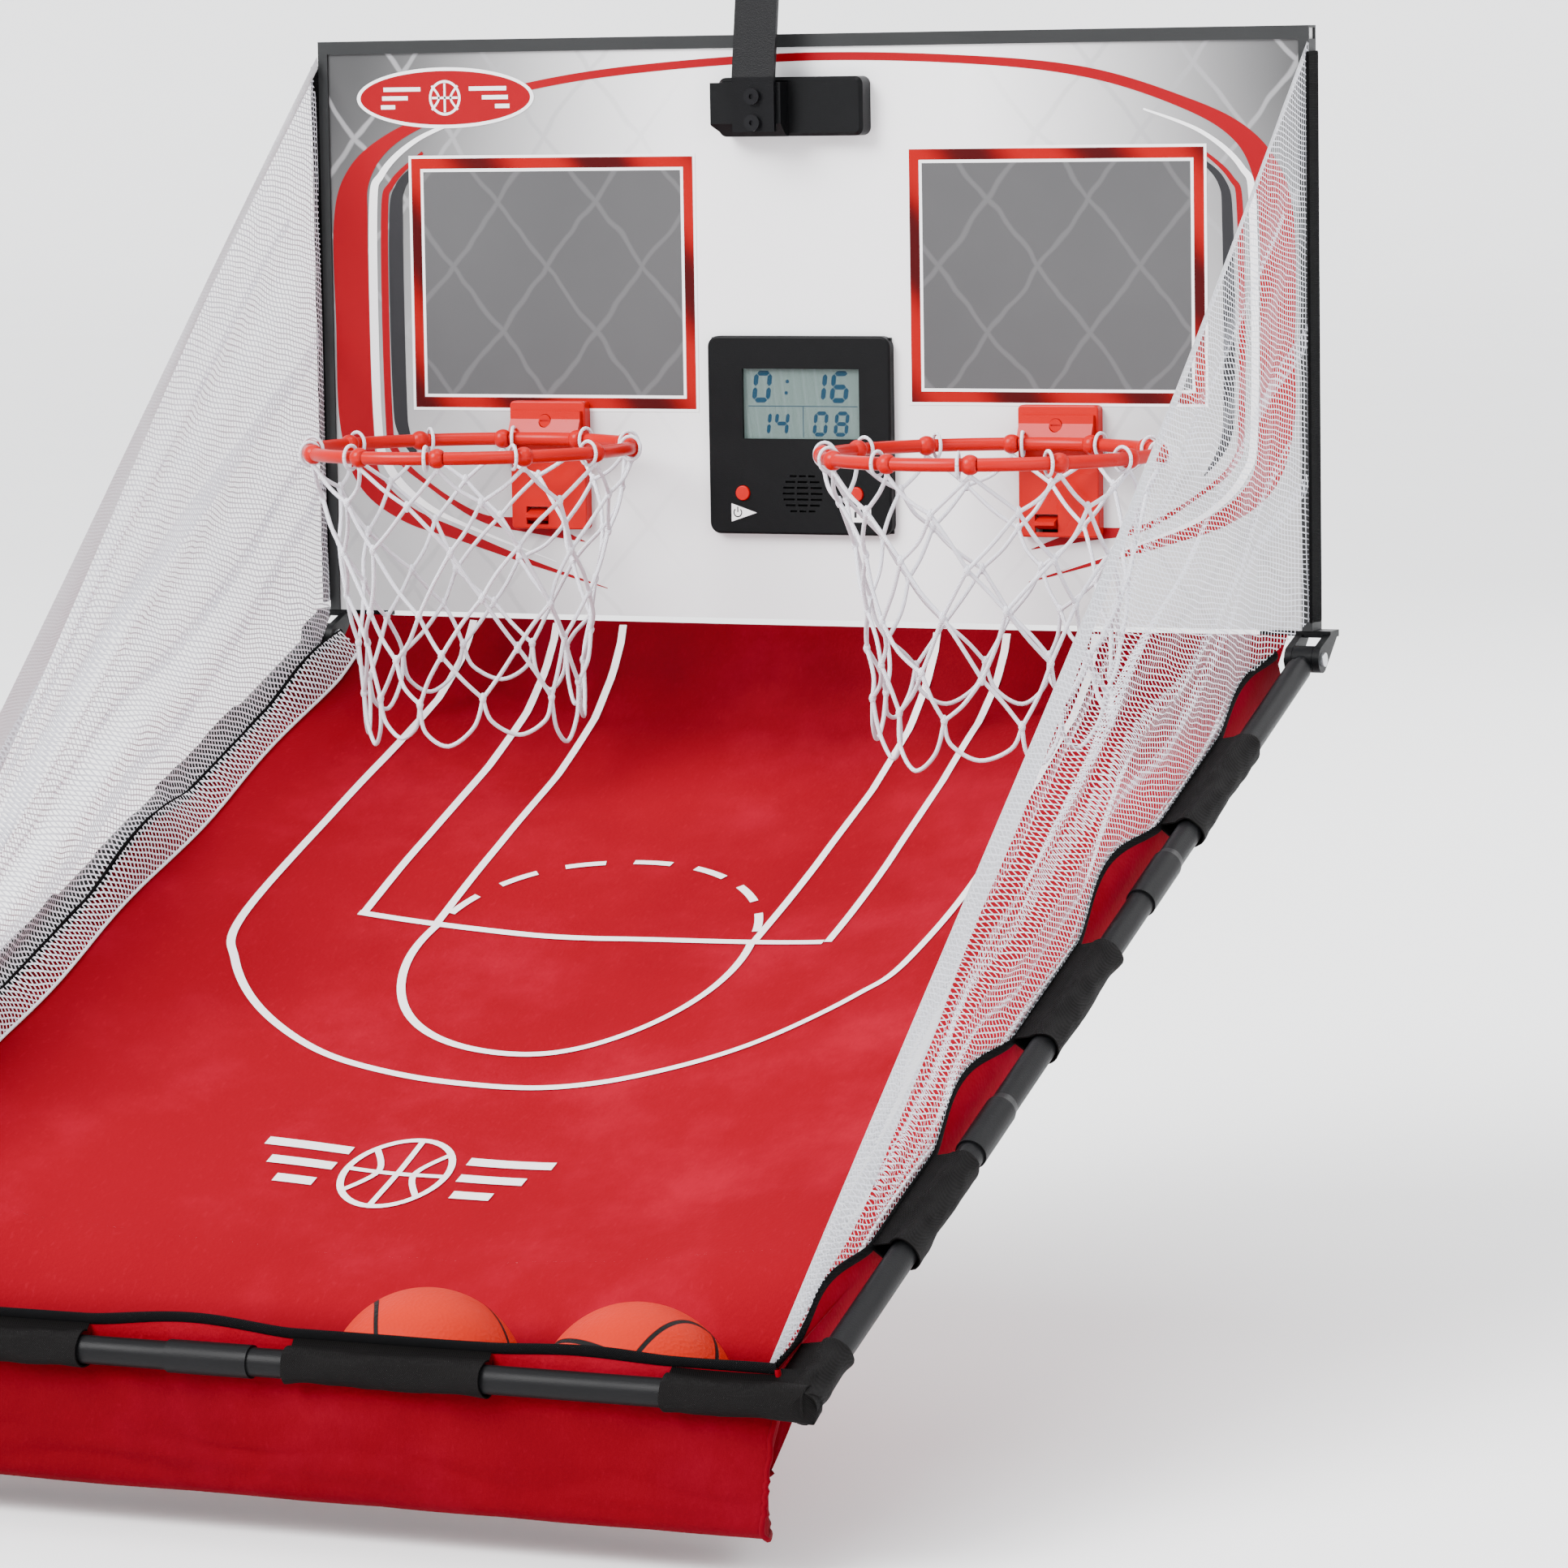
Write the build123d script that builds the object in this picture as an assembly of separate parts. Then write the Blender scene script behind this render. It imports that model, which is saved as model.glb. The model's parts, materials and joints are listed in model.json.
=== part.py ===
from build123d import *
import os
from math import asin, cos, hypot, pi, sin

# Over-the-door basketball game with two hoops. Millimetres, +Z up, -Y towards the player.
# Origin: the door's top front edge, on the game's centre plane. The door lies at +Y.

# ---- backboard
BOARD_WIDTH = 660.0
BOARD_HEIGHT = 359.0
BOARD_THICKNESS = 10.0
BOARD_DROP = 100.0           # door's top edge down to the board's top edge
PAD_DEPTH = 20.0             # foam pads hold the board off the door
PAD_WIDTH = 60.0
PAD_HEIGHT = 36.0
PAD_INSET = 50.0
PAD_FROM_TOP = 30.0
PAD_FROM_BOTTOM = 58.0
TRIM_WEB = 1.5
TRIM_LIP_TOP = 8.0
TRIM_LIP_SIDE = 6.5
STRIP_THICKNESS = 2.0        # hook-and-loop strips on the board's sides
STRIP_DEPTH = 18.0
STRIP_LEAD = 8.0             # how far a strip reaches in front of the board
FIT = 0.3                    # general clearance between neighbours
RUN = 0.06                   # radial clearance of a pin in a turning part

# ---- door hanger
STRAP_WIDTH = 28.0
STRAP_THICKNESS = 3.0
STRAP_X = -18.0
STRAP_BEND = 5.0
STRAP_LEAN = 20.0            # how far the strap leans forward on its way down
HOOK_LEG = 55.0
HOOK_LINER = 3.0
DOOR_THICKNESS_MAX = 46.0
BLOCK_WIDTH = 96.0
BLOCK_HEIGHT = 36.0
BLOCK_DEPTH = 14.0
BLOCK_DROP = 26.0            # board's top edge to the block's top
BOSS_WIDTH = 47.0
BOSS_DEPTH = 11.0
BOSS_SHORT = 3.0             # the boss stops this far below the block's top
HANGER_BOLT_R = 2.5
HANGER_BOLT_PITCH = 16.0

# ---- scorer
SCORER_SIZE = 122.0
SCORER_Z = 114.0             # centre above the board's bottom edge
SCORER_PROUD = 7.0
SCORER_BEHIND = 16.0
SCORER_SHELL = 2.0
SCORER_RIM = 7.0             # shell's rim outside the board's cut-out
SCORER_FLANGE = 6.0
SCREEN_WIDTH = 78.0
SCREEN_HEIGHT = 43.0
SCREEN_X = 1.5
SCREEN_Z = 19.4              # above the scorer's centre
BUTTON_R = 4.6
BUTTON_X = 38.0
BUTTON_Z = -35.7
BUTTON_PROUD = 1.6
BUTTON_TRAVEL = 0.8
SPEAKER_R = 18.0
SPEAKER_X = 2.0
CELL_R = 7.2
CELL_LENGTH = 50.0
CELL_COUNT = 3
CELL_PITCH = 15.2
COVER_STEP = 2.0             # ledge that the battery cover rests on
SCORER_SCREW_R = 1.5

# ---- hoops
HOOP_X = 171.0
HOOP_Z = 111.0               # ring above the board's bottom edge
HOOP_RADIUS = 100.0
HOOP_OFFSET = 115.0          # ring's centre in front of the board
RING_R = 4.0
KNOB_R = 6.0
KNOB_COUNT = 12
PLATE_WIDTH = 52.0
PLATE_HEIGHT = 80.0
PLATE_BASE = 54.0            # plate's lower edge above the board's bottom edge
PLATE_DEPTH = 8.0
PLATE_WALL = 2.0
NECK_FLARE = 58.0
NECK_THICKNESS = 7.0
ROOT_DEPTH = 3.0
ROOT_TOP = 128.0
HOOP_SCREW_R = 2.0
HOOP_SCREW_Z = 122.0
WINDOW_X = -8.0
WINDOW_WIDTH = 15.0
WINDOW_HEIGHT = 11.0
WINDOW_Z = 62.5
TAB_PIN_R = 1.0
NET_TOP_R = 99.0
NET_WAIST_R = 74.0
NET_BOTTOM_R = 68.0
NET_LENGTH = 150.0
NET_WALL = 2.0

# ---- folding ball ramp
RAMP_RUN = 770.5             # board's face to the front bar, level
RAMP_FALL = 316.0            # board's bottom edge down to the front bar
HINGE_AHEAD = 14.0           # hinge axis in front of the board's face
TUBE_R = 7.5
TUBE_WALL = 1.0
TUBE_X = 330.0
SOCKET_R = 8.7
SOCKET_LENGTH = 45.0
JOINT_ENDS = (301.0, 574.0)  # where each socket ends, along the tube from the hinge
HINGE_PIN_R = 2.5
EYE_R = 8.0
EYE_WIDTH = 12.4
KNUCKLE_NECK_R = 5.4         # passes between the bracket's ears
TUBE_START = 14.0            # rear tube's upper end, from the hinge
PLUG_LENGTH = 30.0           # how far a plug goes into its tube
EAR_THICKNESS = 4.4
EAR_GAP = 0.3
BRACKET_WIDTH = 48.0
BRACKET_FLANGE = 40.0
BRACKET_SHEET = 4.0
BRACKET_SCREW_R = 1.8
ELBOW_REACH = 22.0           # corner elbow's shoulder, from the corner
SLEEVE_WALL = 1.5
SLEEVE_GAP = 0.4
SLEEVE_OUTER = TUBE_R + SLEEVE_GAP + SLEEVE_WALL
SIDE_SLEEVES = ((114.0, 219.0), (360.0, 463.0), (586.0, 675.0))
FRONT_SLEEVES = ((-189.0, -77.0), (43.0, 156.0))
CORNER_SLEEVE_SIDE = 45.0
CORNER_SLEEVE_FRONT = 74.0

# ---- soft goods
CLOTH = 1.6
COURT_HALF = 314.0
COURT_LEVEL = -7.0           # cloth's edge below the tubes' axes
COURT_END = 645.0            # where the court stops, down the ramp from the hinge
COURT_SAG = 36.0
# rear of the court: distance down the ramp, height of its edge, and its sag
COURT_REAR = ((-17, 7.5, 1), (-8, 3, 8), (12, -5, 14), (45, -7, 25), (110, -7, 33), (200, -7, 36))
POCKET_GAP = 1.2             # seam between the court and the pocket
NET_SHEET = 1.4
SIDE_NET_X = 315.4
BAND_WIDTH = 25.0
BALL_R = 52.0
BALL_WALL = 2.0
BALL_X = (90.0, 210.0)
BALL_BACK = 62.5             # ball centre behind the front bar
BALL_BELOW = 21.0            # ball centre below the front bar
POCKET_FRONT_HALF = 304.0    # half widths of the pocket's floor
POCKET_REAR_HALF = 262.0
POCKET_FRONT = 4.0           # pocket's front and back behind the bar, at its floor
POCKET_REAR = 100.0

# ---- derived places
BACK = -PAD_DEPTH
FACE = BACK - BOARD_THICKNESS
TOP = -BOARD_DROP
BOTTOM = TOP - BOARD_HEIGHT
HALF = BOARD_WIDTH / 2
HINGE_Y = FACE - HINGE_AHEAD
HINGE_Z = BOTTOM - 10.0 - HINGE_AHEAD * (RAMP_FALL - 10.0) / RAMP_RUN
BAR_Y = FACE - RAMP_RUN
BAR_Z = BOTTOM - RAMP_FALL
RAMP_LENGTH = hypot(BAR_Y - HINGE_Y, BAR_Z - HINGE_Z)
RAMP_ANGLE = asin((HINGE_Z - BAR_Z) / RAMP_LENGTH)
RAMP = Plane(
    origin=(0, HINGE_Y, HINGE_Z),
    x_dir=(1, 0, 0),
    z_dir=(0, -sin(RAMP_ANGLE), cos(RAMP_ANGLE)),
).location
SIDES = (("left", -1), ("right", 1))
SCORER_MID = BOTTOM + SCORER_Z
SCORER_HALF = SCORER_SIZE / 2
CUTOUT_HALF = SCORER_HALF - SCORER_RIM
SCORER_BACK = BACK + SCORER_BEHIND
FRONT_WALL = FACE - SCORER_PROUD
CIRCUIT_Y = FACE + 1.0
CIRCUIT_THICKNESS = 1.6
CELL_Y = SCORER_BACK - SCORER_SHELL - CELL_R - FIT
CELL_MID = SCORER_MID + 4.0


# ---- helpers
def save(node, *bodies):
    """Write one node's solids to its own file."""
    shape = bodies[0] if len(bodies) == 1 else Compound(children=list(bodies))
    export_step(shape, f"parts/{node}.step")


def slab(x0, x1, y0, y1, z0, z1):
    """A box from its low and high sides."""
    middle = Pos((x0 + x1) / 2, (y0 + y1) / 2, (z0 + z1) / 2)
    return middle * Box(x1 - x0, y1 - y0, z1 - z0)


def rod_x(x0, x1, y, z, radius):
    return Pos((x0 + x1) / 2, y, z) * Rot(0, 90, 0) * Cylinder(radius, x1 - x0)


def rod_y(x, y0, y1, z, radius):
    return Pos(x, (y0 + y1) / 2, z) * Rot(90, 0, 0) * Cylinder(radius, y1 - y0)


def pipe_x(x0, x1, y, z, outer, inner):
    return rod_x(x0, x1, y, z, outer) - rod_x(x0 - 1, x1 + 1, y, z, inner)


def pipe_y(x, y0, y1, z, outer, inner):
    return rod_y(x, y0, y1, z, outer) - rod_y(x, y0 - 1, y1 + 1, z, inner)


def rounded(body, radius, axis=Axis.Y):
    return fillet(body.edges().filter_by(axis), radius)


def side_plate(points, x0, x1):
    """A plate in the YZ plane between two X values."""
    face = make_face(Polyline(*points, close=True))
    return Pos(x0, 0, 0) * extrude(Plane.YZ * face, amount=x1 - x0)


def along_board(points):
    """Points given as distance ahead of the board and height over its bottom edge."""
    return [(FACE - ahead, BOTTOM + height) for ahead, height in points]


def on_ramp(down, height):
    """World Y and Z of a point at a distance down the ramp and a height over its tubes."""
    y = HINGE_Y - down * cos(RAMP_ANGLE) - height * sin(RAMP_ANGLE)
    z = HINGE_Z - down * sin(RAMP_ANGLE) + height * cos(RAMP_ANGLE)
    return (y, z)


def sheet_outline(points, thickness):
    """Outline of a thin sheet that follows the points, thickened on one side."""
    normals = []
    for (a0, b0), (a1, b1) in zip(points, points[1:]):
        length = hypot(a1 - a0, b1 - b0)
        normals.append(((b0 - b1) / length, (a1 - a0) / length))
    corners = []
    for i, (a, b) in enumerate(points):
        before = normals[max(i - 1, 0)]
        after = normals[min(i, len(normals) - 1)]
        scale = thickness / (1 + before[0] * after[0] + before[1] * after[1])
        corners.append((a + (before[0] + after[0]) * scale, b + (before[1] + after[1]) * scale))
    return list(points) + corners[::-1]


def hanger_bolt_places():
    top = TOP - BLOCK_DROP - BLOCK_HEIGHT / 2 + HANGER_BOLT_PITCH / 2 - 1.5
    return [top, top - HANGER_BOLT_PITCH]


def hoop_screw_places(side):
    return side * HOOP_X, BOTTOM + HOOP_SCREW_Z


def scorer_screw_places():
    reach = CUTOUT_HALF - 7.0
    return [(x, SCORER_MID + z) for x in (-reach, reach) for z in (-reach, reach)]


# ---- backboard
def backboard_panel():
    inner = HALF - TRIM_WEB
    panel = slab(-inner, inner, FACE, BACK, BOTTOM, TOP - TRIM_WEB)
    low, high = SCORER_MID - CUTOUT_HALF, SCORER_MID + CUTOUT_HALF
    panel -= rounded(slab(-CUTOUT_HALF, CUTOUT_HALF, FACE - 1, BACK + 1, low, high), 4)
    for z in hanger_bolt_places():
        panel -= rod_y(STRAP_X, FACE - 1, BACK + 1, z, HANGER_BOLT_R + 0.2)
    for _, side in SIDES:
        x, z = hoop_screw_places(side)
        panel -= rod_y(x, FACE - 1, BACK + 1, z, HOOP_SCREW_R + 0.2)
        window = side * HOOP_X + WINDOW_X
        z0 = BOTTOM + WINDOW_Z
        panel -= slab(window - 8, window + 8, FACE - 1, BACK + 1, z0 - 9, z0 + 3)
    return panel


def top_trim():
    outer = slab(-HALF, HALF, FACE - TRIM_WEB, BACK + TRIM_WEB, TOP - TRIM_LIP_TOP, TOP)
    return outer - slab(-HALF - 1, HALF + 1, FACE, BACK, TOP - TRIM_LIP_TOP - 1, TOP - TRIM_WEB)


def side_trim(side):
    x0, x1 = sorted((side * (HALF - TRIM_LIP_SIDE), side * HALF))
    web = side * (HALF - TRIM_WEB)
    outer = slab(x0, x1, FACE - TRIM_WEB, BACK + TRIM_WEB, BOTTOM, TOP - TRIM_LIP_TOP)
    low, high = sorted((web, side * (HALF - TRIM_LIP_SIDE - 1)))
    return outer - slab(low, high, FACE, BACK, BOTTOM - 1, TOP)


def door_pads():
    outer = HALF - PAD_INSET
    pads = []
    for z in (TOP - PAD_FROM_TOP - PAD_HEIGHT, BOTTOM + PAD_FROM_BOTTOM):
        for x in (-outer, outer - PAD_WIDTH):
            pads.append(rounded(slab(x, x + PAD_WIDTH, BACK, 0, z, z + PAD_HEIGHT), 5))
    return pads


def net_strip(side):
    x0, x1 = sorted((side * (HALF + FIT), side * (HALF + FIT + STRIP_THICKNESS)))
    return slab(x0, x1, FACE - STRIP_LEAD, FACE - STRIP_LEAD + STRIP_DEPTH, BOTTOM + 4, TOP - 14)


# ---- door hanger
def strap_face():
    """Y of the strap's back face where it lies on the block's boss."""
    return FACE - BLOCK_DEPTH - BOSS_DEPTH


def hanger_strap():
    low = strap_face() - STRAP_THICKNESS / 2
    block_top = TOP - BLOCK_DROP
    level = HOOK_LINER + STRAP_THICKNESS / 2
    rear = DOOR_THICKNESS_MAX + STRAP_THICKNESS / 2
    points = [
        (low, block_top - BLOCK_HEIGHT + 3),
        (low, block_top),
        (low + STRAP_LEAN, level),
        (rear, level),
        (rear, level - HOOK_LEG),
        (rear + 8, level - HOOK_LEG - 12),
    ]
    path = FilletPolyline(*[(STRAP_X, y, z) for y, z in points], radius=STRAP_BEND)
    start = Plane(origin=path @ 0, x_dir=(1, 0, 0), z_dir=path % 0)
    strap = sweep(start * Rectangle(STRAP_WIDTH, STRAP_THICKNESS), path=path)
    for z in hanger_bolt_places():
        strap -= rod_y(STRAP_X, low - 3, low + 3, z, HANGER_BOLT_R + 0.2)
    return strap


def hook_liner():
    y0 = FACE - 1
    y1 = DOOR_THICKNESS_MAX - STRAP_BEND
    return slab(STRAP_X - STRAP_WIDTH / 2, STRAP_X + STRAP_WIDTH / 2, y0, y1, 0, HOOK_LINER)


def hanger_block():
    top = TOP - BLOCK_DROP
    half = BLOCK_WIDTH / 2
    body = rounded(slab(-half, half, FACE - BLOCK_DEPTH, FACE, top - BLOCK_HEIGHT, top), 5)
    body = chamfer(body.faces().sort_by(Axis.Y)[0].edges(), 2)
    front = FACE - BLOCK_DEPTH - BOSS_DEPTH
    boss = slab(-half, -half + BOSS_WIDTH, front, FACE - 4, top - BLOCK_HEIGHT, top - BOSS_SHORT)
    boss = chamfer(boss.edges().filter_by(Axis.X).group_by(Axis.Z)[0].sort_by(Axis.Y)[0], 8)
    boss = chamfer(boss.edges().filter_by(Axis.Y).group_by(Axis.Z)[0].sort_by(Axis.X)[0], 7)
    body += boss
    for z in hanger_bolt_places():
        body -= rod_y(STRAP_X, front - 1, FACE + 1, z, HANGER_BOLT_R + 0.2)
    return body


def hanger_bolts():
    """Two socket-head bolts, each with its nut behind the board."""
    bolts = []
    head = strap_face() - STRAP_THICKNESS
    for z in hanger_bolt_places():
        bolt = rod_y(STRAP_X, head, BACK + 8, z, HANGER_BOLT_R)
        bolt += rod_y(STRAP_X, head - 2.6, head, z, 2 * HANGER_BOLT_R)
        socket = extrude(RegularPolygon(1.7, 6), amount=1.4, both=True)
        bolt -= Pos(STRAP_X, head - 2.6, z) * Rot(90, 0, 0) * socket
        bolts.append(bolt)
        nut = Pos(STRAP_X, BACK, z) * Rot(-90, 0, 0) * extrude(RegularPolygon(4.6, 6), amount=4)
        bolts.append(nut - rod_y(STRAP_X, BACK - 1, BACK + 6, z, HANGER_BOLT_R + 0.02))
    return bolts


# ---- scorer
def scorer_front_shell():
    half = SCORER_HALF
    body = rounded(slab(-half, half, FRONT_WALL, FACE, SCORER_MID - half, SCORER_MID + half), 7)
    body = fillet(body.faces().sort_by(Axis.Y)[0].edges(), 1.6)
    inside = half - SCORER_SHELL
    low, high = SCORER_MID - inside, SCORER_MID + inside
    body -= rounded(slab(-inside, inside, FRONT_WALL + SCORER_SHELL, FACE + 1, low, high), 5)
    skirt = CUTOUT_HALF - FIT
    wall = skirt - SCORER_SHELL
    ring = rounded(slab(-skirt, skirt, FACE, BACK, SCORER_MID - skirt, SCORER_MID + skirt), 3.5)
    ring -= rounded(slab(-wall, wall, FACE - 1, BACK + 1, SCORER_MID - wall, SCORER_MID + wall), 2)
    shelf = slab(-inside - 1, inside + 1, FACE - SCORER_SHELL, FACE, low - 1, high + 1)
    shelf -= slab(-wall, wall, FACE - 5, FACE + 1, SCORER_MID - wall, SCORER_MID + wall)
    body += shelf + ring
    for x, z in scorer_screw_places():
        body += rod_y(x, FRONT_WALL + 1, BACK - FIT, z, 4)
        body -= rod_y(x, FACE, BACK + 1, z, SCORER_SCREW_R)
    z = SCORER_MID + SCREEN_Z
    body -= slab(
        SCREEN_X - SCREEN_WIDTH / 2,
        SCREEN_X + SCREEN_WIDTH / 2,
        FRONT_WALL - 1,
        FRONT_WALL + SCORER_SHELL + 1,
        z - SCREEN_HEIGHT / 2,
        z + SCREEN_HEIGHT / 2,
    )
    z = SCORER_MID + BUTTON_Z
    for x in (-BUTTON_X, BUTTON_X):
        body -= rod_y(x, FRONT_WALL - 1, FRONT_WALL + SCORER_SHELL + 1, z, BUTTON_R + 0.25)
    return body - grille_slots()


def grille_slots():
    """Rows of short slots over the speaker, longer towards its middle."""
    slots = []
    pitch = 3.6
    for row in range(-3, 4):
        width = 2 * (SPEAKER_R * SPEAKER_R * 0.62 - (row * pitch) ** 2) ** 0.5
        z = SCORER_MID + BUTTON_Z + row * pitch
        for part in (-1, 0, 1):
            x = SPEAKER_X + part * width / 3
            reach = width / 6 - 0.8
            through = (FRONT_WALL - 1, FRONT_WALL + SCORER_SHELL + 1)
            slots.append(slab(x - reach, x + reach, *through, z - 0.6, z + 0.6))
    return slots


def scorer_rear_shell():
    flange = CUTOUT_HALF + SCORER_FLANGE
    box = CUTOUT_HALF - FIT
    low, high = SCORER_MID - flange, SCORER_MID + flange
    body = rounded(slab(-flange, flange, BACK, BACK + SCORER_SHELL, low, high), 6)
    body += rounded(slab(-box, box, BACK, SCORER_BACK, SCORER_MID - box, SCORER_MID + box), 4)
    wall = box - SCORER_SHELL
    body -= slab(-wall, wall, BACK - 1, SCORER_BACK - SCORER_SHELL, SCORER_MID - wall, SCORER_MID + wall)
    width, height = cell_bay()
    bay = slab(
        -width / 2 - 2 * COVER_STEP,
        width / 2 + 2 * COVER_STEP,
        CELL_Y - CELL_R - FIT - SCORER_SHELL,
        SCORER_BACK - SCORER_SHELL,
        CELL_MID - height / 2 - 2 * COVER_STEP,
        CELL_MID + height / 2 + 2 * COVER_STEP,
    )
    body += bay
    low, high = CELL_MID - height / 2, CELL_MID + height / 2
    body -= slab(-width / 2, width / 2, CELL_Y - CELL_R - FIT, SCORER_BACK + 1, low, high)
    body -= battery_cover_blank(FIT, SCORER_BACK - SCORER_SHELL, SCORER_BACK + 1)
    x, z = cover_screw_place()
    body += rod_y(x, SCORER_BACK - SCORER_SHELL - 6, SCORER_BACK - SCORER_SHELL, z, 3.2)
    body -= rod_y(x, SCORER_BACK - SCORER_SHELL - 5, SCORER_BACK, z, 1.0)
    for x, z in scorer_screw_places():
        body += rod_y(x, BACK, SCORER_BACK - 1, z, 4)
        body -= rod_y(x, BACK - 1, SCORER_BACK + 1, z, SCORER_SCREW_R + 0.2)
        body -= rod_y(x, BACK + 4, SCORER_BACK + 1, z, 2.9)
    return body


def cell_bay():
    """Width and height of the space for the cells and their contacts."""
    return CELL_LENGTH + 7.0, CELL_PITCH * (CELL_COUNT - 1) + 2 * CELL_R + 0.6


def cover_screw_place():
    return 0.0, CELL_MID - cell_bay()[1] / 2 - COVER_STEP - 3.2


def battery_cover_blank(grow, y0, y1):
    width, height = cell_bay()
    half_w = width / 2 + COVER_STEP - FIT + grow
    half_h = height / 2 + COVER_STEP - FIT + grow
    x, z = cover_screw_place()
    blank = slab(-half_w, half_w, y0, y1, CELL_MID - half_h, CELL_MID + half_h)
    return blank + rod_y(x, y0, y1, z, 4.2 + grow)


def battery_cover():
    x, z = cover_screw_place()
    cover = battery_cover_blank(0, SCORER_BACK - SCORER_SHELL + 0.1, SCORER_BACK)
    for row in range(-2, 3):
        groove = CELL_MID + 10 + row * 2.4
        cover -= slab(-9, 9, SCORER_BACK - 0.6, SCORER_BACK + 1, groove, groove + 1)
    return cover - rod_y(x, SCORER_BACK - 4, SCORER_BACK + 1, z, 1.3)


def battery_cover_screw():
    x, z = cover_screw_place()
    screw = rod_y(x, SCORER_BACK - 5.5, SCORER_BACK, z, 0.9)
    screw += rod_y(x, SCORER_BACK, SCORER_BACK + 1.2, z, 2.2)
    return screw - slab(x - 1.5, x + 1.5, SCORER_BACK + 0.6, SCORER_BACK + 2, z - 0.3, z + 0.3)


def cells():
    made = []
    for i in range(CELL_COUNT):
        z = CELL_MID + (i - (CELL_COUNT - 1) / 2) * CELL_PITCH
        turn = 1 if i % 2 == 0 else -1
        can = rod_x(-CELL_LENGTH / 2, CELL_LENGTH / 2 - 1.4, CELL_Y, z, CELL_R)
        can = fillet(can.edges().filter_by(GeomType.CIRCLE), 0.6)
        cell = can + rod_x(CELL_LENGTH / 2 - 1.5, CELL_LENGTH / 2, CELL_Y, z, 2.6)
        if turn < 0:
            cell = mirror(cell, Plane.YZ)
        made.append(cell)
    return made


def cell_contacts():
    width, _ = cell_bay()
    made = []
    for i in range(CELL_COUNT):
        z = CELL_MID + (i - (CELL_COUNT - 1) / 2) * CELL_PITCH
        for end in (-1, 1):
            wall = end * width / 2
            x0, x1 = sorted((wall, wall - end * 0.6))
            plate = slab(x0, x1, CELL_Y - 5, CELL_Y + 5, z - 5.5, z + 5.5)
            reach = width / 2 - CELL_LENGTH / 2 - FIT / 3
            x0, x1 = sorted((wall, wall - end * reach))
            made.append(plate + rod_x(x0, x1, CELL_Y, z, 2.4))
    return made


def display_window():
    z = SCORER_MID + SCREEN_Z
    y = FRONT_WALL + SCORER_SHELL
    lens = slab(
        SCREEN_X - SCREEN_WIDTH / 2 - 1.5,
        SCREEN_X + SCREEN_WIDTH / 2 + 1.5,
        y,
        y + 1.2,
        z - SCREEN_HEIGHT / 2 - 1.5,
        z + SCREEN_HEIGHT / 2 + 1.5,
    )
    raised = slab(
        SCREEN_X - SCREEN_WIDTH / 2 + 0.15,
        SCREEN_X + SCREEN_WIDTH / 2 - 0.15,
        FRONT_WALL + 0.8,
        y,
        z - SCREEN_HEIGHT / 2 + 0.15,
        z + SCREEN_HEIGHT / 2 - 0.15,
    )
    return lens + raised


def display_panel():
    z = SCORER_MID + SCREEN_Z
    y = FRONT_WALL + SCORER_SHELL + 1.2
    return slab(
        SCREEN_X - SCREEN_WIDTH / 2 - 1,
        SCREEN_X + SCREEN_WIDTH / 2 + 1,
        y,
        CIRCUIT_Y,
        z - SCREEN_HEIGHT / 2 - 1,
        z + SCREEN_HEIGHT / 2 + 1,
    )


def circuit_board():
    board = slab(-46, 46, CIRCUIT_Y, CIRCUIT_Y + CIRCUIT_THICKNESS, SCORER_MID - 46, SCORER_MID + 46)
    board -= rod_y(SPEAKER_X, CIRCUIT_Y - 1, CIRCUIT_Y + 3, SCORER_MID + BUTTON_Z, SPEAKER_R + 0.6)
    for x, z in scorer_screw_places():
        board -= rod_y(x, CIRCUIT_Y - 1, CIRCUIT_Y + 3, z, 4.4)
    rear = CIRCUIT_Y + CIRCUIT_THICKNESS
    chip = slab(-8, 8, rear, rear + 1.4, SCORER_MID - 6, SCORER_MID + 6)
    return board + chip


def speaker():
    z = SCORER_MID + BUTTON_Z
    rim = FRONT_WALL + SCORER_SHELL
    frame = rod_y(SPEAKER_X, rim, rim + 2, z, SPEAKER_R)
    basket = Pos(SPEAKER_X, rim + 4.5, z) * Rot(-90, 0, 0) * Cone(SPEAKER_R - 1, 9, 5)
    magnet = rod_y(SPEAKER_X, rim + 7, rim + 11, z, 8.5)
    dish = Pos(SPEAKER_X, rim + 1.4, z) * Rot(-90, 0, 0) * Cone(SPEAKER_R - 3, 6, 3)
    return frame + basket + magnet - dish


def push_button(side):
    x = side * BUTTON_X
    z = SCORER_MID + BUTTON_Z
    inner = FRONT_WALL + SCORER_SHELL + 0.1
    cap = rod_y(x, FRONT_WALL - BUTTON_PROUD, inner + 0.5, z, BUTTON_R)
    cap = fillet(cap.edges().sort_by(Axis.Y)[0], 0.8)
    return cap + rod_y(x, inner, inner + 1, z, BUTTON_R + 1.4)


def button_switches():
    made = []
    z = SCORER_MID + BUTTON_Z
    for side in (-1, 1):
        x = side * BUTTON_X
        gap = FRONT_WALL + SCORER_SHELL + 1.1 + BUTTON_TRAVEL + 0.1
        body = slab(x - 3, x + 3, CIRCUIT_Y - 2.2, CIRCUIT_Y, z - 3, z + 3)
        made.append(body + rod_y(x, gap, CIRCUIT_Y - 2, z, 1.6))
    return made


def scorer_screws():
    made = []
    for x, z in scorer_screw_places():
        screw = rod_y(x, BACK - 8, BACK + 4, z, SCORER_SCREW_R - 0.1)
        screw += rod_y(x, BACK + 4, BACK + 6, z, 2.7)
        made.append(screw - slab(x - 2, x + 2, BACK + 5.2, BACK + 7, z - 0.4, z + 0.4))
    return made


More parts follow.
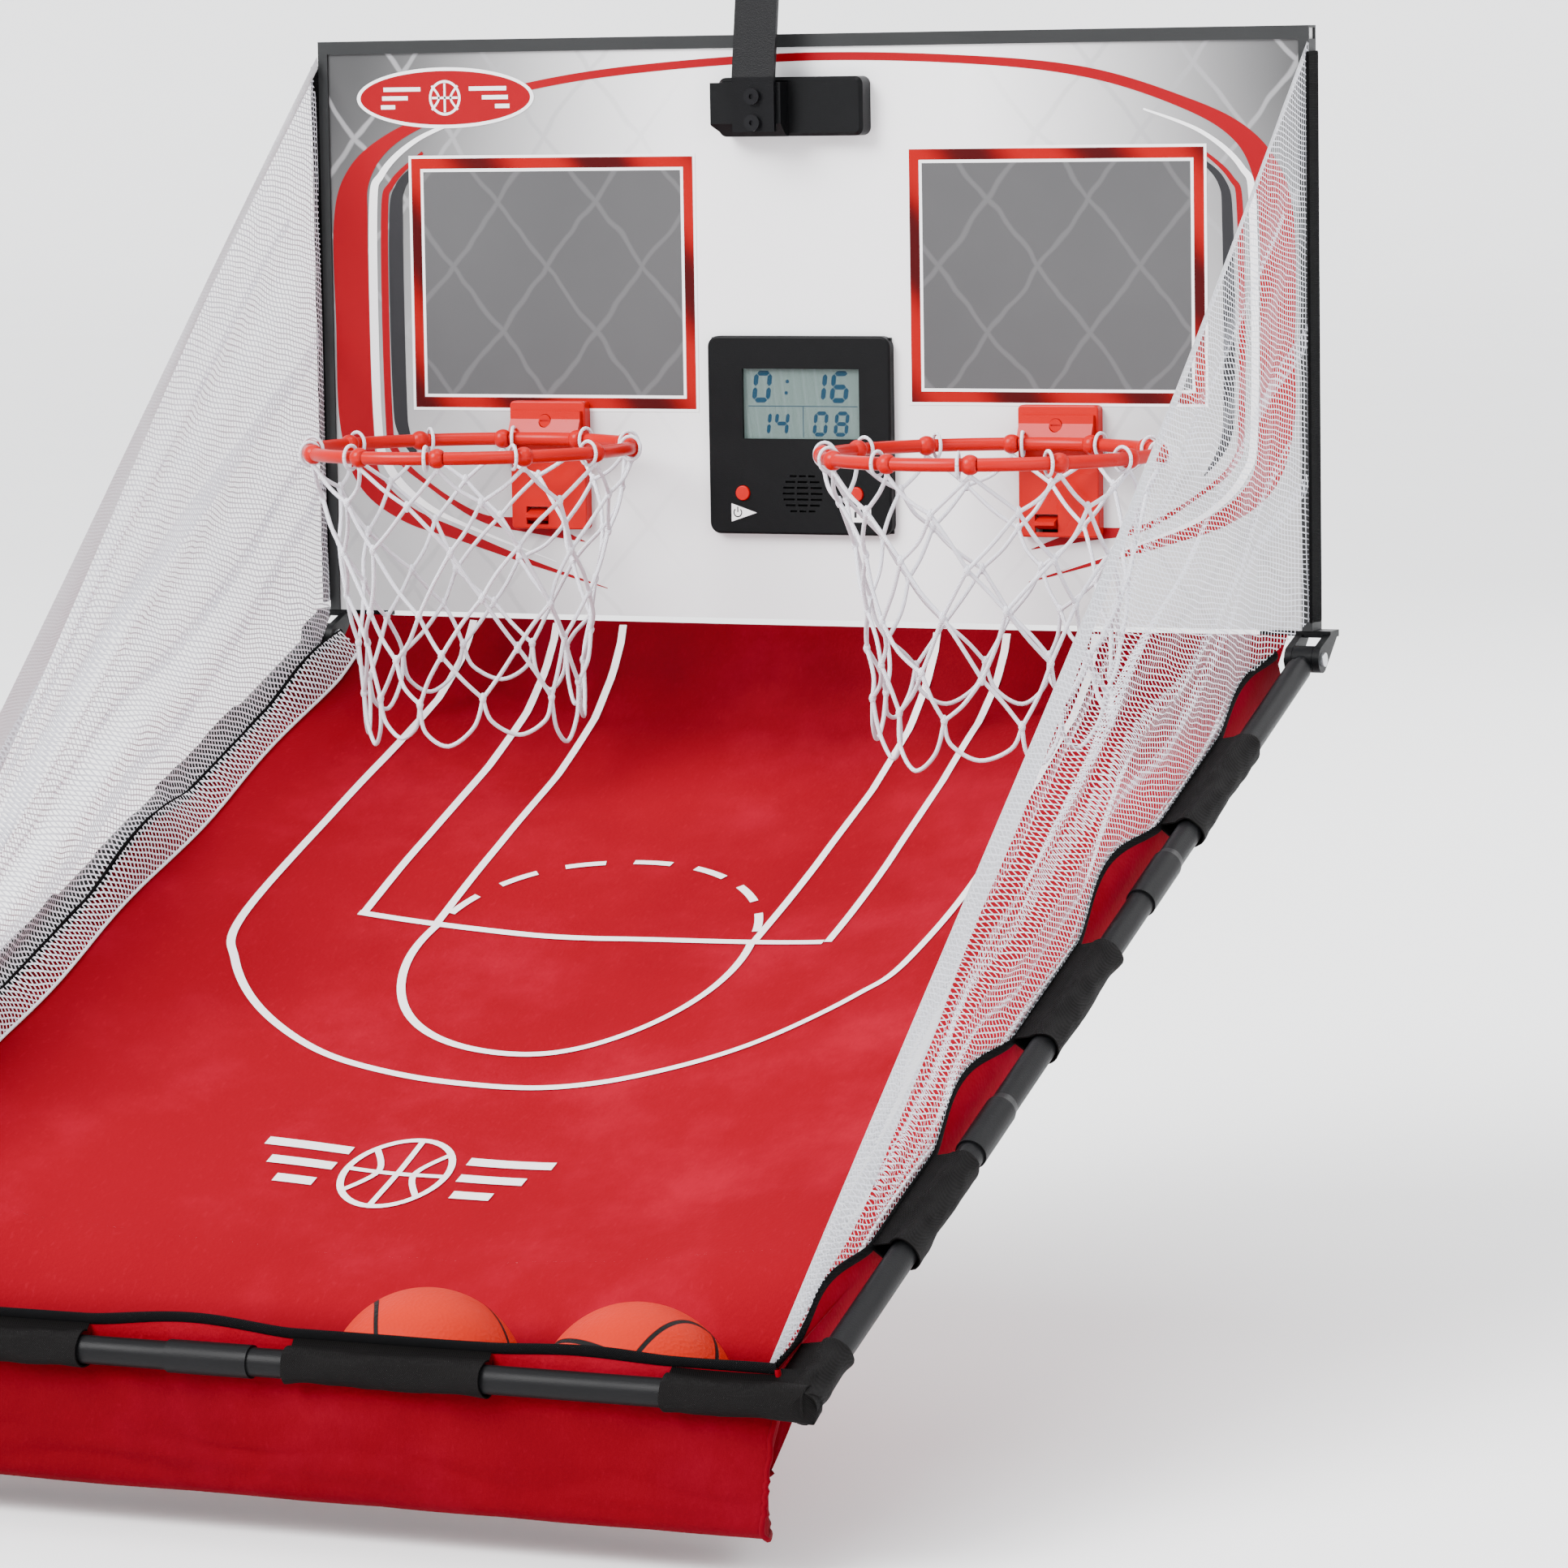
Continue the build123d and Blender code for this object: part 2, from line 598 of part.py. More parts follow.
# ---- hoops
def hoop_plate(side):
    x = side * HOOP_X
    z0 = BOTTOM + PLATE_BASE
    half = PLATE_WIDTH / 2
    plate = rounded(slab(x - half, x + half, FACE - PLATE_DEPTH, FACE, z0, z0 + PLATE_HEIGHT), 3)
    plate = fillet(plate.faces().sort_by(Axis.Y)[0].edges(), 1.2)
    inside = half - PLATE_WALL
    wall_back = FACE - PLATE_DEPTH + PLATE_WALL
    low, high = z0 + PLATE_WALL, z0 + PLATE_HEIGHT - PLATE_WALL
    plate -= slab(x - inside, x + inside, wall_back, FACE + 1, low, high)
    screw_x, screw_z = hoop_screw_places(side)
    plate += rod_y(screw_x, FACE - PLATE_DEPTH + 1, FACE, screw_z, 5)
    plate -= rod_y(screw_x, FACE - PLATE_DEPTH - 1, FACE + 1, screw_z, HOOP_SCREW_R + 0.2)
    window = x + WINDOW_X
    z = BOTTOM + WINDOW_Z
    plate -= slab(
        window - WINDOW_WIDTH / 2,
        window + WINDOW_WIDTH / 2,
        FACE - PLATE_DEPTH - 1,
        FACE - PLATE_DEPTH + PLATE_WALL + 1,
        z - WINDOW_HEIGHT / 2,
        z + WINDOW_HEIGHT / 2,
    )
    pin_y, pin_z = tab_pin_place()
    for end in (-1, 1):
        lug_x = window + end * (WINDOW_WIDTH / 2 + 1.5)
        lug = slab(lug_x - 1, lug_x + 1, wall_back - 0.5, pin_y + 2.2, pin_z - 2.2, pin_z + 2.2)
        plate += lug - rod_x(lug_x - 2, lug_x + 2, pin_y, pin_z, TAB_PIN_R + 0.02)
    return plate


def tab_pin_place():
    """Y and Z of the score tab's pivot."""
    return FACE - 2.9, BOTTOM + WINDOW_Z + 2.4


def score_tab(side):
    x = side * HOOP_X + WINDOW_X
    pin_y, pin_z = tab_pin_place()
    half = WINDOW_WIDTH / 2 - 1.0
    body = rod_x(x - half, x + half, pin_y, pin_z, 2.2)
    tongue = side_plate(
        [
            (pin_y - 2, pin_z + 1),
            (pin_y - 9, pin_z - 1.5),
            (pin_y - 9, pin_z - 3.5),
            (pin_y - 1.5, pin_z - 6.2),
            (pin_y + 0.6, pin_z - 6.2),
            (pin_y + 0.6, pin_z),
        ],
        x - half,
        x + half,
    )
    return body + tongue - rod_x(x - half - 1, x + half + 1, pin_y, pin_z, TAB_PIN_R + RUN)


def tab_pins():
    pin_y, pin_z = tab_pin_place()
    pins = []
    for _, side in SIDES:
        x = side * HOOP_X + WINDOW_X
        reach = WINDOW_WIDTH / 2 + 2.5
        pins.append(rod_x(x - reach, x + reach, pin_y, pin_z, TAB_PIN_R))
    return pins


def score_switches():
    made = []
    for _, side in SIDES:
        x = side * HOOP_X + WINDOW_X
        z = BOTTOM + WINDOW_Z - 4.5
        body = slab(x - 6.4, x + 6.4, FACE + 2.4, BACK - 1, z - 3, z + 3)
        body += rod_y(x, FACE + 1.4, FACE + 3, z, 1.2)
        made.append(body + slab(x - 8, x + 8, BACK - 1.6, BACK, z - 4.5, z + 4))
    return made


def hoop_ring(side):
    x = side * HOOP_X
    y = FACE - HOOP_OFFSET
    z = BOTTOM + HOOP_Z
    ring = Pos(x, y, z) * Torus(HOOP_RADIUS, RING_R)
    face_y = FACE - PLATE_DEPTH
    half = PLATE_WIDTH / 2 - 2
    outline = [
        (x - half, face_y),
        (x - NECK_FLARE, y + (HOOP_RADIUS ** 2 - NECK_FLARE ** 2) ** 0.5),
        (x - NECK_FLARE, y),
        (x + NECK_FLARE, y),
        (x + NECK_FLARE, y + (HOOP_RADIUS ** 2 - NECK_FLARE ** 2) ** 0.5),
        (x + half, face_y),
    ]
    flat = make_face(Polyline(*outline, close=True))
    neck = Pos(0, 0, z - NECK_THICKNESS / 2) * extrude(flat, amount=NECK_THICKNESS)
    neck -= Pos(x, y, z) * Cylinder(HOOP_RADIUS - 1.0, NECK_THICKNESS + 2)
    root_top = BOTTOM + ROOT_TOP
    root = slab(x - half, x + half, face_y - ROOT_DEPTH, face_y, z - NECK_THICKNESS, root_top)
    rib = side_plate(
        [
            (face_y - 1, root_top - 1),
            (y + HOOP_RADIUS - 1, z + 2),
            (y + HOOP_RADIUS - 1, z - 2),
            (face_y - 1, z - 3),
        ],
        x - half,
        x + half,
    )
    body = ring + neck + root + rib
    for i in range(KNOB_COUNT):
        angle = 2 * pi * (i + 0.5) / KNOB_COUNT
        body += Pos(x + HOOP_RADIUS * sin(angle), y + HOOP_RADIUS * cos(angle), z) * Sphere(KNOB_R)
    screw_x, screw_z = hoop_screw_places(side)
    body -= rod_y(screw_x, face_y - 20, face_y + 1, screw_z, HOOP_SCREW_R + 0.2)
    return body - rod_y(screw_x, face_y - 20, face_y - 1.6, screw_z, 4.2)


def hoop_screws():
    """One slotted screw a hoop, with a round nut behind the board."""
    made = []
    head = FACE - PLATE_DEPTH - 1.6
    for _, side in SIDES:
        x, z = hoop_screw_places(side)
        screw = rod_y(x, head, BACK + 3.4, z, HOOP_SCREW_R) + rod_y(x, head - 2.2, head, z, 3.9)
        made.append(screw - slab(x - 3, x + 3, head - 3, head - 1.4, z - 0.5, z + 0.5))
        made.append(pipe_y(x, BACK, BACK + 2.6, z, 4.5, HOOP_SCREW_R + 0.02))
    return made


def hoop_net(side):
    top = HOOP_Z - KNOB_R - FIT
    profile = [
        (NET_TOP_R, top),
        (NET_WAIST_R, top - NET_LENGTH * 0.62),
        (NET_BOTTOM_R, top - NET_LENGTH),
        (NET_BOTTOM_R - NET_WALL, top - NET_LENGTH),
        (NET_WAIST_R - NET_WALL, top - NET_LENGTH * 0.62),
        (NET_TOP_R - NET_WALL, top),
    ]
    face = Plane.XZ * make_face(Polyline(*profile, close=True))
    return Pos(side * HOOP_X, FACE - HOOP_OFFSET, BOTTOM) * revolve(face, Axis.Z)


# ---- ramp frame
def corner_bracket(side):
    inner = TUBE_X - EYE_WIDTH / 2 - EAR_GAP - EAR_THICKNESS
    outer = TUBE_X + EYE_WIDTH / 2 + EAR_GAP + EAR_THICKNESS
    lip = BACK + TRIM_WEB
    body = slab(outer - BRACKET_WIDTH, outer, FACE, lip + BRACKET_SHEET, BOTTOM - BRACKET_SHEET, BOTTOM)
    body -= slab(0, inner, FACE - 1, BACK, BOTTOM - 9, BOTTOM + 1)
    flange_top = BOTTOM + BRACKET_FLANGE
    body += slab(outer - BRACKET_WIDTH, HALF, lip, lip + BRACKET_SHEET, BOTTOM - BRACKET_SHEET, flange_top)
    for x0 in (inner, outer - EAR_THICKNESS):
        eye = Pos(HINGE_Y, HINGE_Z) * Circle(EYE_R)
        root = Pos(FACE + 6, BOTTOM - BRACKET_SHEET + 1) * Rectangle(12, 2)
        ear = make_hull(eye.edges() + root.edges())
        body += Pos(x0, 0, 0) * extrude(Plane.YZ * ear, amount=EAR_THICKNESS)
    body -= rod_x(inner - 1, outer + 1, HINGE_Y, HINGE_Z, HINGE_PIN_R + 0.02)
    for x, z in bracket_screw_places():
        body -= rod_y(x, lip - 1, lip + 9, z, BRACKET_SCREW_R + 0.2)
    return body if side > 0 else mirror(body, Plane.YZ)


def bracket_screw_places():
    x = TUBE_X - 20
    return [(x, BOTTOM + 14), (x, BOTTOM + 30)]


def bracket_screws():
    made = []
    head = BACK + TRIM_WEB + BRACKET_SHEET
    for side in (-1, 1):
        for x, z in bracket_screw_places():
            screw = rod_y(side * x, BACK, head, z, BRACKET_SCREW_R)
            made.append(screw + rod_y(side * x, head, head + 2, z, 2 * BRACKET_SCREW_R))
    return made


def hinge_pins():
    made = []
    reach = EYE_WIDTH / 2 + EAR_GAP + EAR_THICKNESS
    for side in (-1, 1):
        x = side * TUBE_X
        pin = rod_x(x - reach, x + reach, HINGE_Y, HINGE_Z, HINGE_PIN_R)
        pin += rod_x(x - reach - 1.6, x - reach, HINGE_Y, HINGE_Z, 4.2)
        made.append(pin + rod_x(x + reach, x + reach + 1.6, HINGE_Y, HINGE_Z, 4.2))
    return made


def hinge_knuckles():
    """Eyes that turn on the pins, each with a plug for its rear tube."""
    made = []
    for side in (-1, 1):
        x = side * TUBE_X
        eye = rod_x(x - EYE_WIDTH / 2, x + EYE_WIDTH / 2, 0, 0, EYE_R)
        neck = rod_y(x, -TUBE_START - 1, -4, 0, KNUCKLE_NECK_R)
        plug = rod_y(x, -TUBE_START - PLUG_LENGTH, -TUBE_START, 0, TUBE_R - TUBE_WALL)
        body = eye + neck + plug - rod_x(x - 9, x + 9, 0, 0, HINGE_PIN_R + RUN)
        made.append(RAMP * body)
    return made


def side_tube(side, index):
    """One of three push-fit lengths; the first two end in a widened socket."""
    x = side * TUBE_X
    starts = [TUBE_START] + [end - SOCKET_LENGTH + 2 for end in JOINT_ENDS]
    ends = list(JOINT_ENDS) + [RAMP_LENGTH - ELBOW_REACH]
    start, end = starts[index], ends[index]
    inner = TUBE_R - TUBE_WALL
    if index == 2:
        return RAMP * pipe_y(x, -end, -start, 0, TUBE_R, inner)
    socket = end - SOCKET_LENGTH
    taper = 6.0
    profile = [
        (inner, start),
        (TUBE_R, start),
        (TUBE_R, socket - taper),
        (SOCKET_R, socket),
        (SOCKET_R, end),
        (TUBE_R + 0.02, end),
        (TUBE_R + 0.02, socket),
        (inner, socket - taper),
    ]
    face = make_face(Polyline(*[(r, s) for r, s in profile], close=True))
    body = revolve(face, Axis.Y)
    return RAMP * Pos(x, 0, 0) * Rot(180, 0, 0) * body


def corner_elbow(side):
    corner = side * TUBE_X
    body = Pos(corner, -RAMP_LENGTH, 0) * Sphere(TUBE_R)
    body += rod_y(corner, -RAMP_LENGTH, -RAMP_LENGTH + ELBOW_REACH, 0, TUBE_R)
    plug_end = ELBOW_REACH + PLUG_LENGTH
    body += rod_y(corner, -RAMP_LENGTH, -RAMP_LENGTH + plug_end, 0, TUBE_R - TUBE_WALL)
    inward = sorted((corner, corner - side * ELBOW_REACH))
    deep = sorted((corner, corner - side * plug_end))
    body += rod_x(*inward, -RAMP_LENGTH, 0, TUBE_R)
    body += rod_x(*deep, -RAMP_LENGTH, 0, TUBE_R - TUBE_WALL)
    return RAMP * body


def front_bar(side):
    """Half of the front bar; the left half carries the socket at the middle."""
    end = TUBE_X - ELBOW_REACH
    inner = TUBE_R - TUBE_WALL
    if side > 0:
        return RAMP * pipe_x(-20, end, -RAMP_LENGTH, 0, TUBE_R, inner)
    tube = rod_x(-end, -20, -RAMP_LENGTH, 0, TUBE_R) + rod_x(-26, 22, -RAMP_LENGTH, 0, SOCKET_R)
    tube -= rod_x(-20, 23, -RAMP_LENGTH, 0, TUBE_R + 0.02)
    return RAMP * (tube - rod_x(-end - 1, -19, -RAMP_LENGTH, 0, inner))


def frame_sleeves():
    """Cloth sleeves round the tubes, with the tab that each court edge hangs from."""
    inner = TUBE_R + SLEEVE_GAP
    outer = SLEEVE_OUTER
    made = []
    for side in (-1, 1):
        x = side * TUBE_X
        for start, end in SIDE_SLEEVES:
            sleeve = pipe_y(x, -end, -start, 0, outer, inner)
            x0, x1 = sorted((side * (COURT_HALF + FIT), side * (TUBE_X - 4)))
            tab = slab(x0, x1, -end, -start, COURT_LEVEL - CLOTH, COURT_LEVEL)
            tab -= rod_y(x, -end - 1, -start + 1, 0, inner)
            made.append(RAMP * (sleeve + tab))
        made.append(RAMP * corner_sleeve(side, outer) - RAMP * corner_sleeve(side, inner, 1))
    for start, end in FRONT_SLEEVES:
        made.append(RAMP * pipe_x(start, end, -RAMP_LENGTH, 0, outer, inner))
    return made


def corner_sleeve(side, radius, longer=0):
    corner = side * TUBE_X
    body = Pos(corner, -RAMP_LENGTH, 0) * Sphere(radius)
    body += rod_y(corner, -RAMP_LENGTH, -RAMP_LENGTH + CORNER_SLEEVE_SIDE + longer, 0, radius)
    inward = sorted((corner, corner - side * (CORNER_SLEEVE_FRONT + longer)))
    return body + rod_x(*inward, -RAMP_LENGTH, 0, radius)


# ---- soft goods
def court_sling():
    """Cloth court that hangs between the side tubes and sags in its middle."""
    stations = list(COURT_REAR) + [(down, COURT_LEVEL, COURT_SAG) for down in (400, COURT_END)]
    sections = []
    for down, edge, sag in stations:
        low = edge - CLOTH
        outline = [
            ThreePointArc((-COURT_HALF, edge), (0, edge - sag), (COURT_HALF, edge)),
            Line((COURT_HALF, edge), (COURT_HALF, low)),
            ThreePointArc((COURT_HALF, low), (0, low - sag), (-COURT_HALF, low)),
            Line((-COURT_HALF, low), (-COURT_HALF, edge)),
        ]
        plane = Plane(origin=(0, -down, 0), x_dir=(1, 0, 0), z_dir=(0, -1, 0))
        sections.append(plane * make_face(outline))
    return RAMP * loft(sections, ruled=True)


def pocket_form(inset, rise):
    """The pocket's bulk: wide at the ramp's tubes and narrower at its floor."""
    floor = BAR_Z - BALL_BELOW - BALL_R - FIT - CLOTH + rise
    rear = on_ramp(COURT_END + POCKET_GAP + inset, COURT_LEVEL - CLOTH)
    front = (BAR_Y + FIT + inset, BAR_Z - SLEEVE_OUTER - 2 * CLOTH)
    brim = 3 * inset
    top = [
        (COURT_HALF - inset, rear[0], rear[1] + brim),
        (COURT_HALF - inset, front[0], front[1] + brim),
    ]
    bottom = [
        (POCKET_REAR_HALF - inset, BAR_Y + POCKET_REAR - inset, floor),
        (POCKET_FRONT_HALF - inset, BAR_Y + POCKET_FRONT - CLOTH + inset, floor),
    ]
    faces = []
    for half in (top, bottom):
        corners = half + [(-x, y, z) for x, y, z in half[::-1]]
        faces.append(make_face(Polyline(*corners, close=True)))
    return loft(faces, ruled=True)


def ball_pocket():
    """Cloth trough under the court's end and the front bar, open at the top."""
    half = COURT_HALF - 2 * CLOTH
    edge = COURT_LEVEL - CLOTH
    opening = [
        ThreePointArc((-half, edge), (0, edge - COURT_SAG), (half, edge)),
        Polyline((half, edge), (half, edge + COURT_SAG), (-half, edge + COURT_SAG), (-half, edge)),
    ]
    plane = Plane(origin=(0, -COURT_END + COURT_SAG, 0), x_dir=(1, 0, 0), z_dir=(0, -1, 0))
    over_court = RAMP * extrude(plane * make_face(opening), amount=3 * COURT_SAG)
    return pocket_form(0, 0) - pocket_form(CLOTH, CLOTH) - over_court


def band_points():
    """Back and front ends of the upper edge of a top band."""
    back = along_board([(0.8, BOARD_HEIGHT - 10)])[0]
    front = on_ramp(RAMP_LENGTH - 12, TUBE_R + 4)
    return back, front


def top_band(side):
    (y0, z0), (y1, z1) = band_points()
    length = hypot(y1 - y0, z1 - z0)
    drop_y = (z0 - z1) / length * BAND_WIDTH * 0.5
    drop_z = BAND_WIDTH * 1.25
    band = side_plate(
        [(y0, z0), (y1, z1), (y1 + drop_y, z1), (y0, z0 - drop_z)],
        SIDE_NET_X,
        SIDE_NET_X + NET_SHEET,
    )
    return band if side > 0 else mirror(band, Plane.YZ)


def side_net(side):
    (y0, z0), (y1, z1) = band_points()
    length = hypot(y1 - y0, z1 - z0)
    drop_y = (z0 - z1) / length * BAND_WIDTH * 0.5
    drop_z = BAND_WIDTH * 1.25
    tube_back = on_ramp(20, COURT_LEVEL + FIT)
    tube_front = on_ramp(RAMP_LENGTH - 40, COURT_LEVEL + FIT)
    net = side_plate(
        [
            (y0, z0 - drop_z - 1),
            (y1 + drop_y + 2, z1 - 1),
            tube_front,
            tube_back,
            (y0, BOTTOM + 4),
        ],
        SIDE_NET_X,
        SIDE_NET_X + NET_SHEET,
    )
    return net if side > 0 else mirror(net, Plane.YZ)


def ball(place):
    centre = Pos(place, BAR_Y + BALL_BACK, BAR_Z - BALL_BELOW)
    return centre * (Sphere(BALL_R) - Sphere(BALL_R - BALL_WALL))


def build():
    os.makedirs("parts", exist_ok=True)
    save("backboard_panel", backboard_panel())
    save("top_edge_trim", top_trim())
    save("hanger_strap", hanger_strap())
    save("hook_liner", hook_liner())
    save("hanger_block", hanger_block())
    save("hanger_bolts", *hanger_bolts())
    save("door_pads", *door_pads())
    save("scorer_front_shell", scorer_front_shell())
    save("scorer_rear_shell", scorer_rear_shell())
    save("scorer_screws", *scorer_screws())
    save("display_window", display_window())
    save("display_panel", display_panel())
    save("circuit_board", circuit_board())
    save("speaker", speaker())
    save("power_button", push_button(-1))
    save("mode_button", push_button(1))
    save("button_switches", *button_switches())
    save("battery_cells", *cells())
    save("battery_contacts", *cell_contacts())
    save("battery_cover", battery_cover())
    save("battery_cover_screw", battery_cover_screw())
    save("hoop_screws", *hoop_screws())
    save("score_tab_pins", *tab_pins())
    save("score_switches", *score_switches())
    save("bracket_screws", *bracket_screws())
    save("hinge_pins", *hinge_pins())
    save("hinge_knuckles", *hinge_knuckles())
    save("frame_sleeves", *frame_sleeves())
    save("court_sling", court_sling())
    save("ball_pocket", ball_pocket())
    save("first_ball", ball(BALL_X[0]))
    save("second_ball", ball(BALL_X[1]))
    for name, side in SIDES:
        save(f"{name}_edge_trim", side_trim(side))
        save(f"{name}_net_strip", net_strip(side))
        save(f"{name}_hoop_plate", hoop_plate(side))
        save(f"{name}_hoop_ring", hoop_ring(side))
        save(f"{name}_hoop_net", hoop_net(side))
        save(f"{name}_score_tab", score_tab(side))
        save(f"{name}_corner_bracket", corner_bracket(side))
        save(f"{name}_corner_elbow", corner_elbow(side))
        save(f"{name}_front_bar", front_bar(side))
        save(f"{name}_side_net", side_net(side))
        save(f"{name}_top_band", top_band(side))
        for index, length in enumerate(("rear", "middle", "front")):
            save(f"{name}_{length}_tube", side_tube(side, index))


build()
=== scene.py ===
import json
import math
import random

import bpy
from mathutils import Matrix, Vector, noise


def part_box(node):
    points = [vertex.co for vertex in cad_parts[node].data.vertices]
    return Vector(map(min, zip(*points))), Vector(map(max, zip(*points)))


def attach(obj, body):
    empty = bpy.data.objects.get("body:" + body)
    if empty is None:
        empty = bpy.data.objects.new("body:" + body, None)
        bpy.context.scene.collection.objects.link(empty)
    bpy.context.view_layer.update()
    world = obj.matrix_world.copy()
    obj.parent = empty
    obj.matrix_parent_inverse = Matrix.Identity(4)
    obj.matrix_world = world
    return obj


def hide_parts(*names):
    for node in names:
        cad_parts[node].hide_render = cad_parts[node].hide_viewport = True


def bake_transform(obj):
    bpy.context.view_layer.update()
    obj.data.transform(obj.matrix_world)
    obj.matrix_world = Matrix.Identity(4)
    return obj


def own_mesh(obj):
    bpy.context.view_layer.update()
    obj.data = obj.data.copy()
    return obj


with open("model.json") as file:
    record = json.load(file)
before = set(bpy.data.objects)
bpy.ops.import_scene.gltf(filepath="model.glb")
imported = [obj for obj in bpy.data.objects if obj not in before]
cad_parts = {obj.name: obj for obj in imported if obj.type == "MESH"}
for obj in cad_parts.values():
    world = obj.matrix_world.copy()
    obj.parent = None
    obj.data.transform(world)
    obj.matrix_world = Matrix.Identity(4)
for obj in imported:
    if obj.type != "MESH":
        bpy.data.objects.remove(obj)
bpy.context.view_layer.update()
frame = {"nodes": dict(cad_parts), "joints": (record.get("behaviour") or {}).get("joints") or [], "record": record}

MM = 0.001
SIDES = (("left", -1), ("right", 1))

# ---- places, all from the CAD model
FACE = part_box("backboard_panel")[0][1]
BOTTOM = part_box("backboard_panel")[0][2]
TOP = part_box("top_edge_trim")[1][2]
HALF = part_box("top_edge_trim")[1][0]
HINGE = next(j for j in frame["joints"] if j["name"] == "ramp_fold")["pos_m"]


def middle(name, axis):
    """The middle of a piece's box along one axis."""
    lo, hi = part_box(name)
    return (lo[axis] + hi[axis]) / 2


BAR_Y = middle("right_front_bar", 1)
BAR_Z = middle("right_front_bar", 2)
TUBE_X = middle("right_front_tube", 0)
RAMP_LENGTH = math.hypot(BAR_Y - HINGE[1], BAR_Z - HINGE[2])
RAMP_ANGLE = math.atan2(HINGE[2] - BAR_Z, HINGE[1] - BAR_Y)
RAMP_UP = Vector((0, -math.sin(RAMP_ANGLE), math.cos(RAMP_ANGLE)))
RAMP_DOWN = Vector((0, -math.cos(RAMP_ANGLE), -math.sin(RAMP_ANGLE)))
COURT_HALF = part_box("court_sling")[1][0]
NET_BELOW_RING = 6.3 * MM
RING_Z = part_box("right_hoop_net")[1][2] + NET_BELOW_RING
RING_X = middle("right_hoop_net", 0)
RING_Y = middle("right_hoop_net", 1)
SCORER_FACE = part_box("scorer_front_shell")[0][1]
PANEL_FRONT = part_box("display_panel")[0][1]
POCKET_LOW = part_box("ball_pocket")[0][2] + 0.0012
FLOOR_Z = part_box("ball_pocket")[0][2] - 0.02

# where each sleeve starts and ends: down the side tubes, and across the front bar
SIDE_SLEEVES = ((0.114, 0.219), (0.360, 0.463), (0.586, 0.675))
FRONT_SLEEVES = ((-0.189, -0.077), (0.043, 0.156))
CORNER_START = RAMP_LENGTH - 0.045
CORNER_FRONT = 0.074


def on_ramp(x, down, height):
    """A point across the ramp, at a distance down it and a height over its tubes."""
    y = HINGE[1] - down * math.cos(RAMP_ANGLE) - height * math.sin(RAMP_ANGLE)
    z = HINGE[2] - down * math.sin(RAMP_ANGLE) + height * math.cos(RAMP_ANGLE)
    return Vector((x, y, z))


def smooth(low, high, value):
    """0 below low, 1 above high and an S-curve between them."""
    t = min(1.0, max(0.0, (value - low) / (high - low)))
    return t * t * (3 - 2 * t)


def wave(x, y, z, size):
    """Smooth noise from -1 to 1 whose features are about this size in metres."""
    return noise.noise(Vector((x / size, y / size, z / size)))


# ---- node graphs
class Graph:
    """Short calls for building one material's nodes."""

    def __init__(self, name):
        self.material = bpy.data.materials.new(name)
        self.material.use_nodes = True
        self.tree = self.material.node_tree
        self.bsdf = self.tree.nodes["Principled BSDF"]
        self.coord = self.tree.nodes.new("ShaderNodeTexCoord").outputs["Object"]

    def put(self, socket, value):
        if isinstance(value, bpy.types.NodeSocket):
            self.tree.links.new(value, socket)
        else:
            socket.default_value = value

    def node(self, kind, inputs=(), **settings):
        made = self.tree.nodes.new(kind)
        for key, value in settings.items():
            setattr(made, key, value)
        for key, value in dict(inputs).items():
            self.put(made.inputs[key], value)
        return made

    def math(self, operation, *values, clamp=False):
        made = self.tree.nodes.new("ShaderNodeMath")
        made.operation = operation
        made.use_clamp = clamp
        for i, value in enumerate(values):
            self.put(made.inputs[i], value)
        return made.outputs[0]

    def noise(self, scale, detail=4.0, vector=None, roughness=0.55):
        values = {"Scale": scale, "Detail": detail, "Roughness": roughness}
        values["Vector"] = vector or self.coord
        return self.node("ShaderNodeTexNoise", values).outputs["Fac"]

    def stretch(self, x, y, z):
        values = {"Vector": self.coord, "Scale": (x, y, z)}
        return self.node("ShaderNodeMapping", values).outputs[0]

    def step(self, low, high, value):
        values = {"Value": value, "From Min": low, "From Max": high}
        made = self.node("ShaderNodeMapRange", values, interpolation_type="SMOOTHSTEP")
        return made.outputs[0]

    def mix(self, factor, a, b):
        made = self.tree.nodes.new("ShaderNodeMix")
        made.data_type = "RGBA"
        self.put(made.inputs[0], factor)
        self.put(made.inputs[6], a)
        self.put(made.inputs[7], b)
        return made.outputs[2]

    def split(self, vector=None):
        return self.node("ShaderNodeSeparateXYZ", {0: vector or self.coord}).outputs

    def bump(self, height, strength, distance=0.001):
        values = {"Height": height, "Strength": strength, "Distance": distance}
        self.put(self.bsdf.inputs["Normal"], self.node("ShaderNodeBump", values).outputs[0])

    def set(self, **values):
        for key, value in values.items():
            self.put(self.bsdf.inputs[key.replace("_", " ")], value)


def circle(count):
    """The angles of this many points around a circle."""
    return [2 * math.pi * k / count for k in range(count)]


def oval(centre, across, along, half_across, half_along, count):
    """Points of an oval around a centre, in the plane of two directions."""
    return [centre + across * (half_across * math.cos(t)) + along * (half_along * math.sin(t))
            for t in circle(count)]


def add_object(name, data):
    made = bpy.data.objects.new(name, data)
    bpy.context.collection.objects.link(made)
    return made


def rgba(color, gain=1.0):
    return tuple(min(1.0, c * gain) for c in color) + (1.0,)


def surface(name, color, rough=0.5, vary=0.12, patch=25.0, grain=900.0, bump=0.15, **more):
    """A surface with soft colour patches, uneven gloss and a fine grain."""
    g = Graph(name)
    patches = g.noise(patch)
    g.set(Base_Color=g.mix(patches, rgba(color, 1 - vary), rgba(color, 1 + vary)))
    fine = g.noise(grain, 3.0)
    uneven = g.math("MULTIPLY_ADD", patches, 0.18, rough - 0.09)
    g.set(Roughness=uneven, **more)
    g.bump(fine, bump)
    return g.material


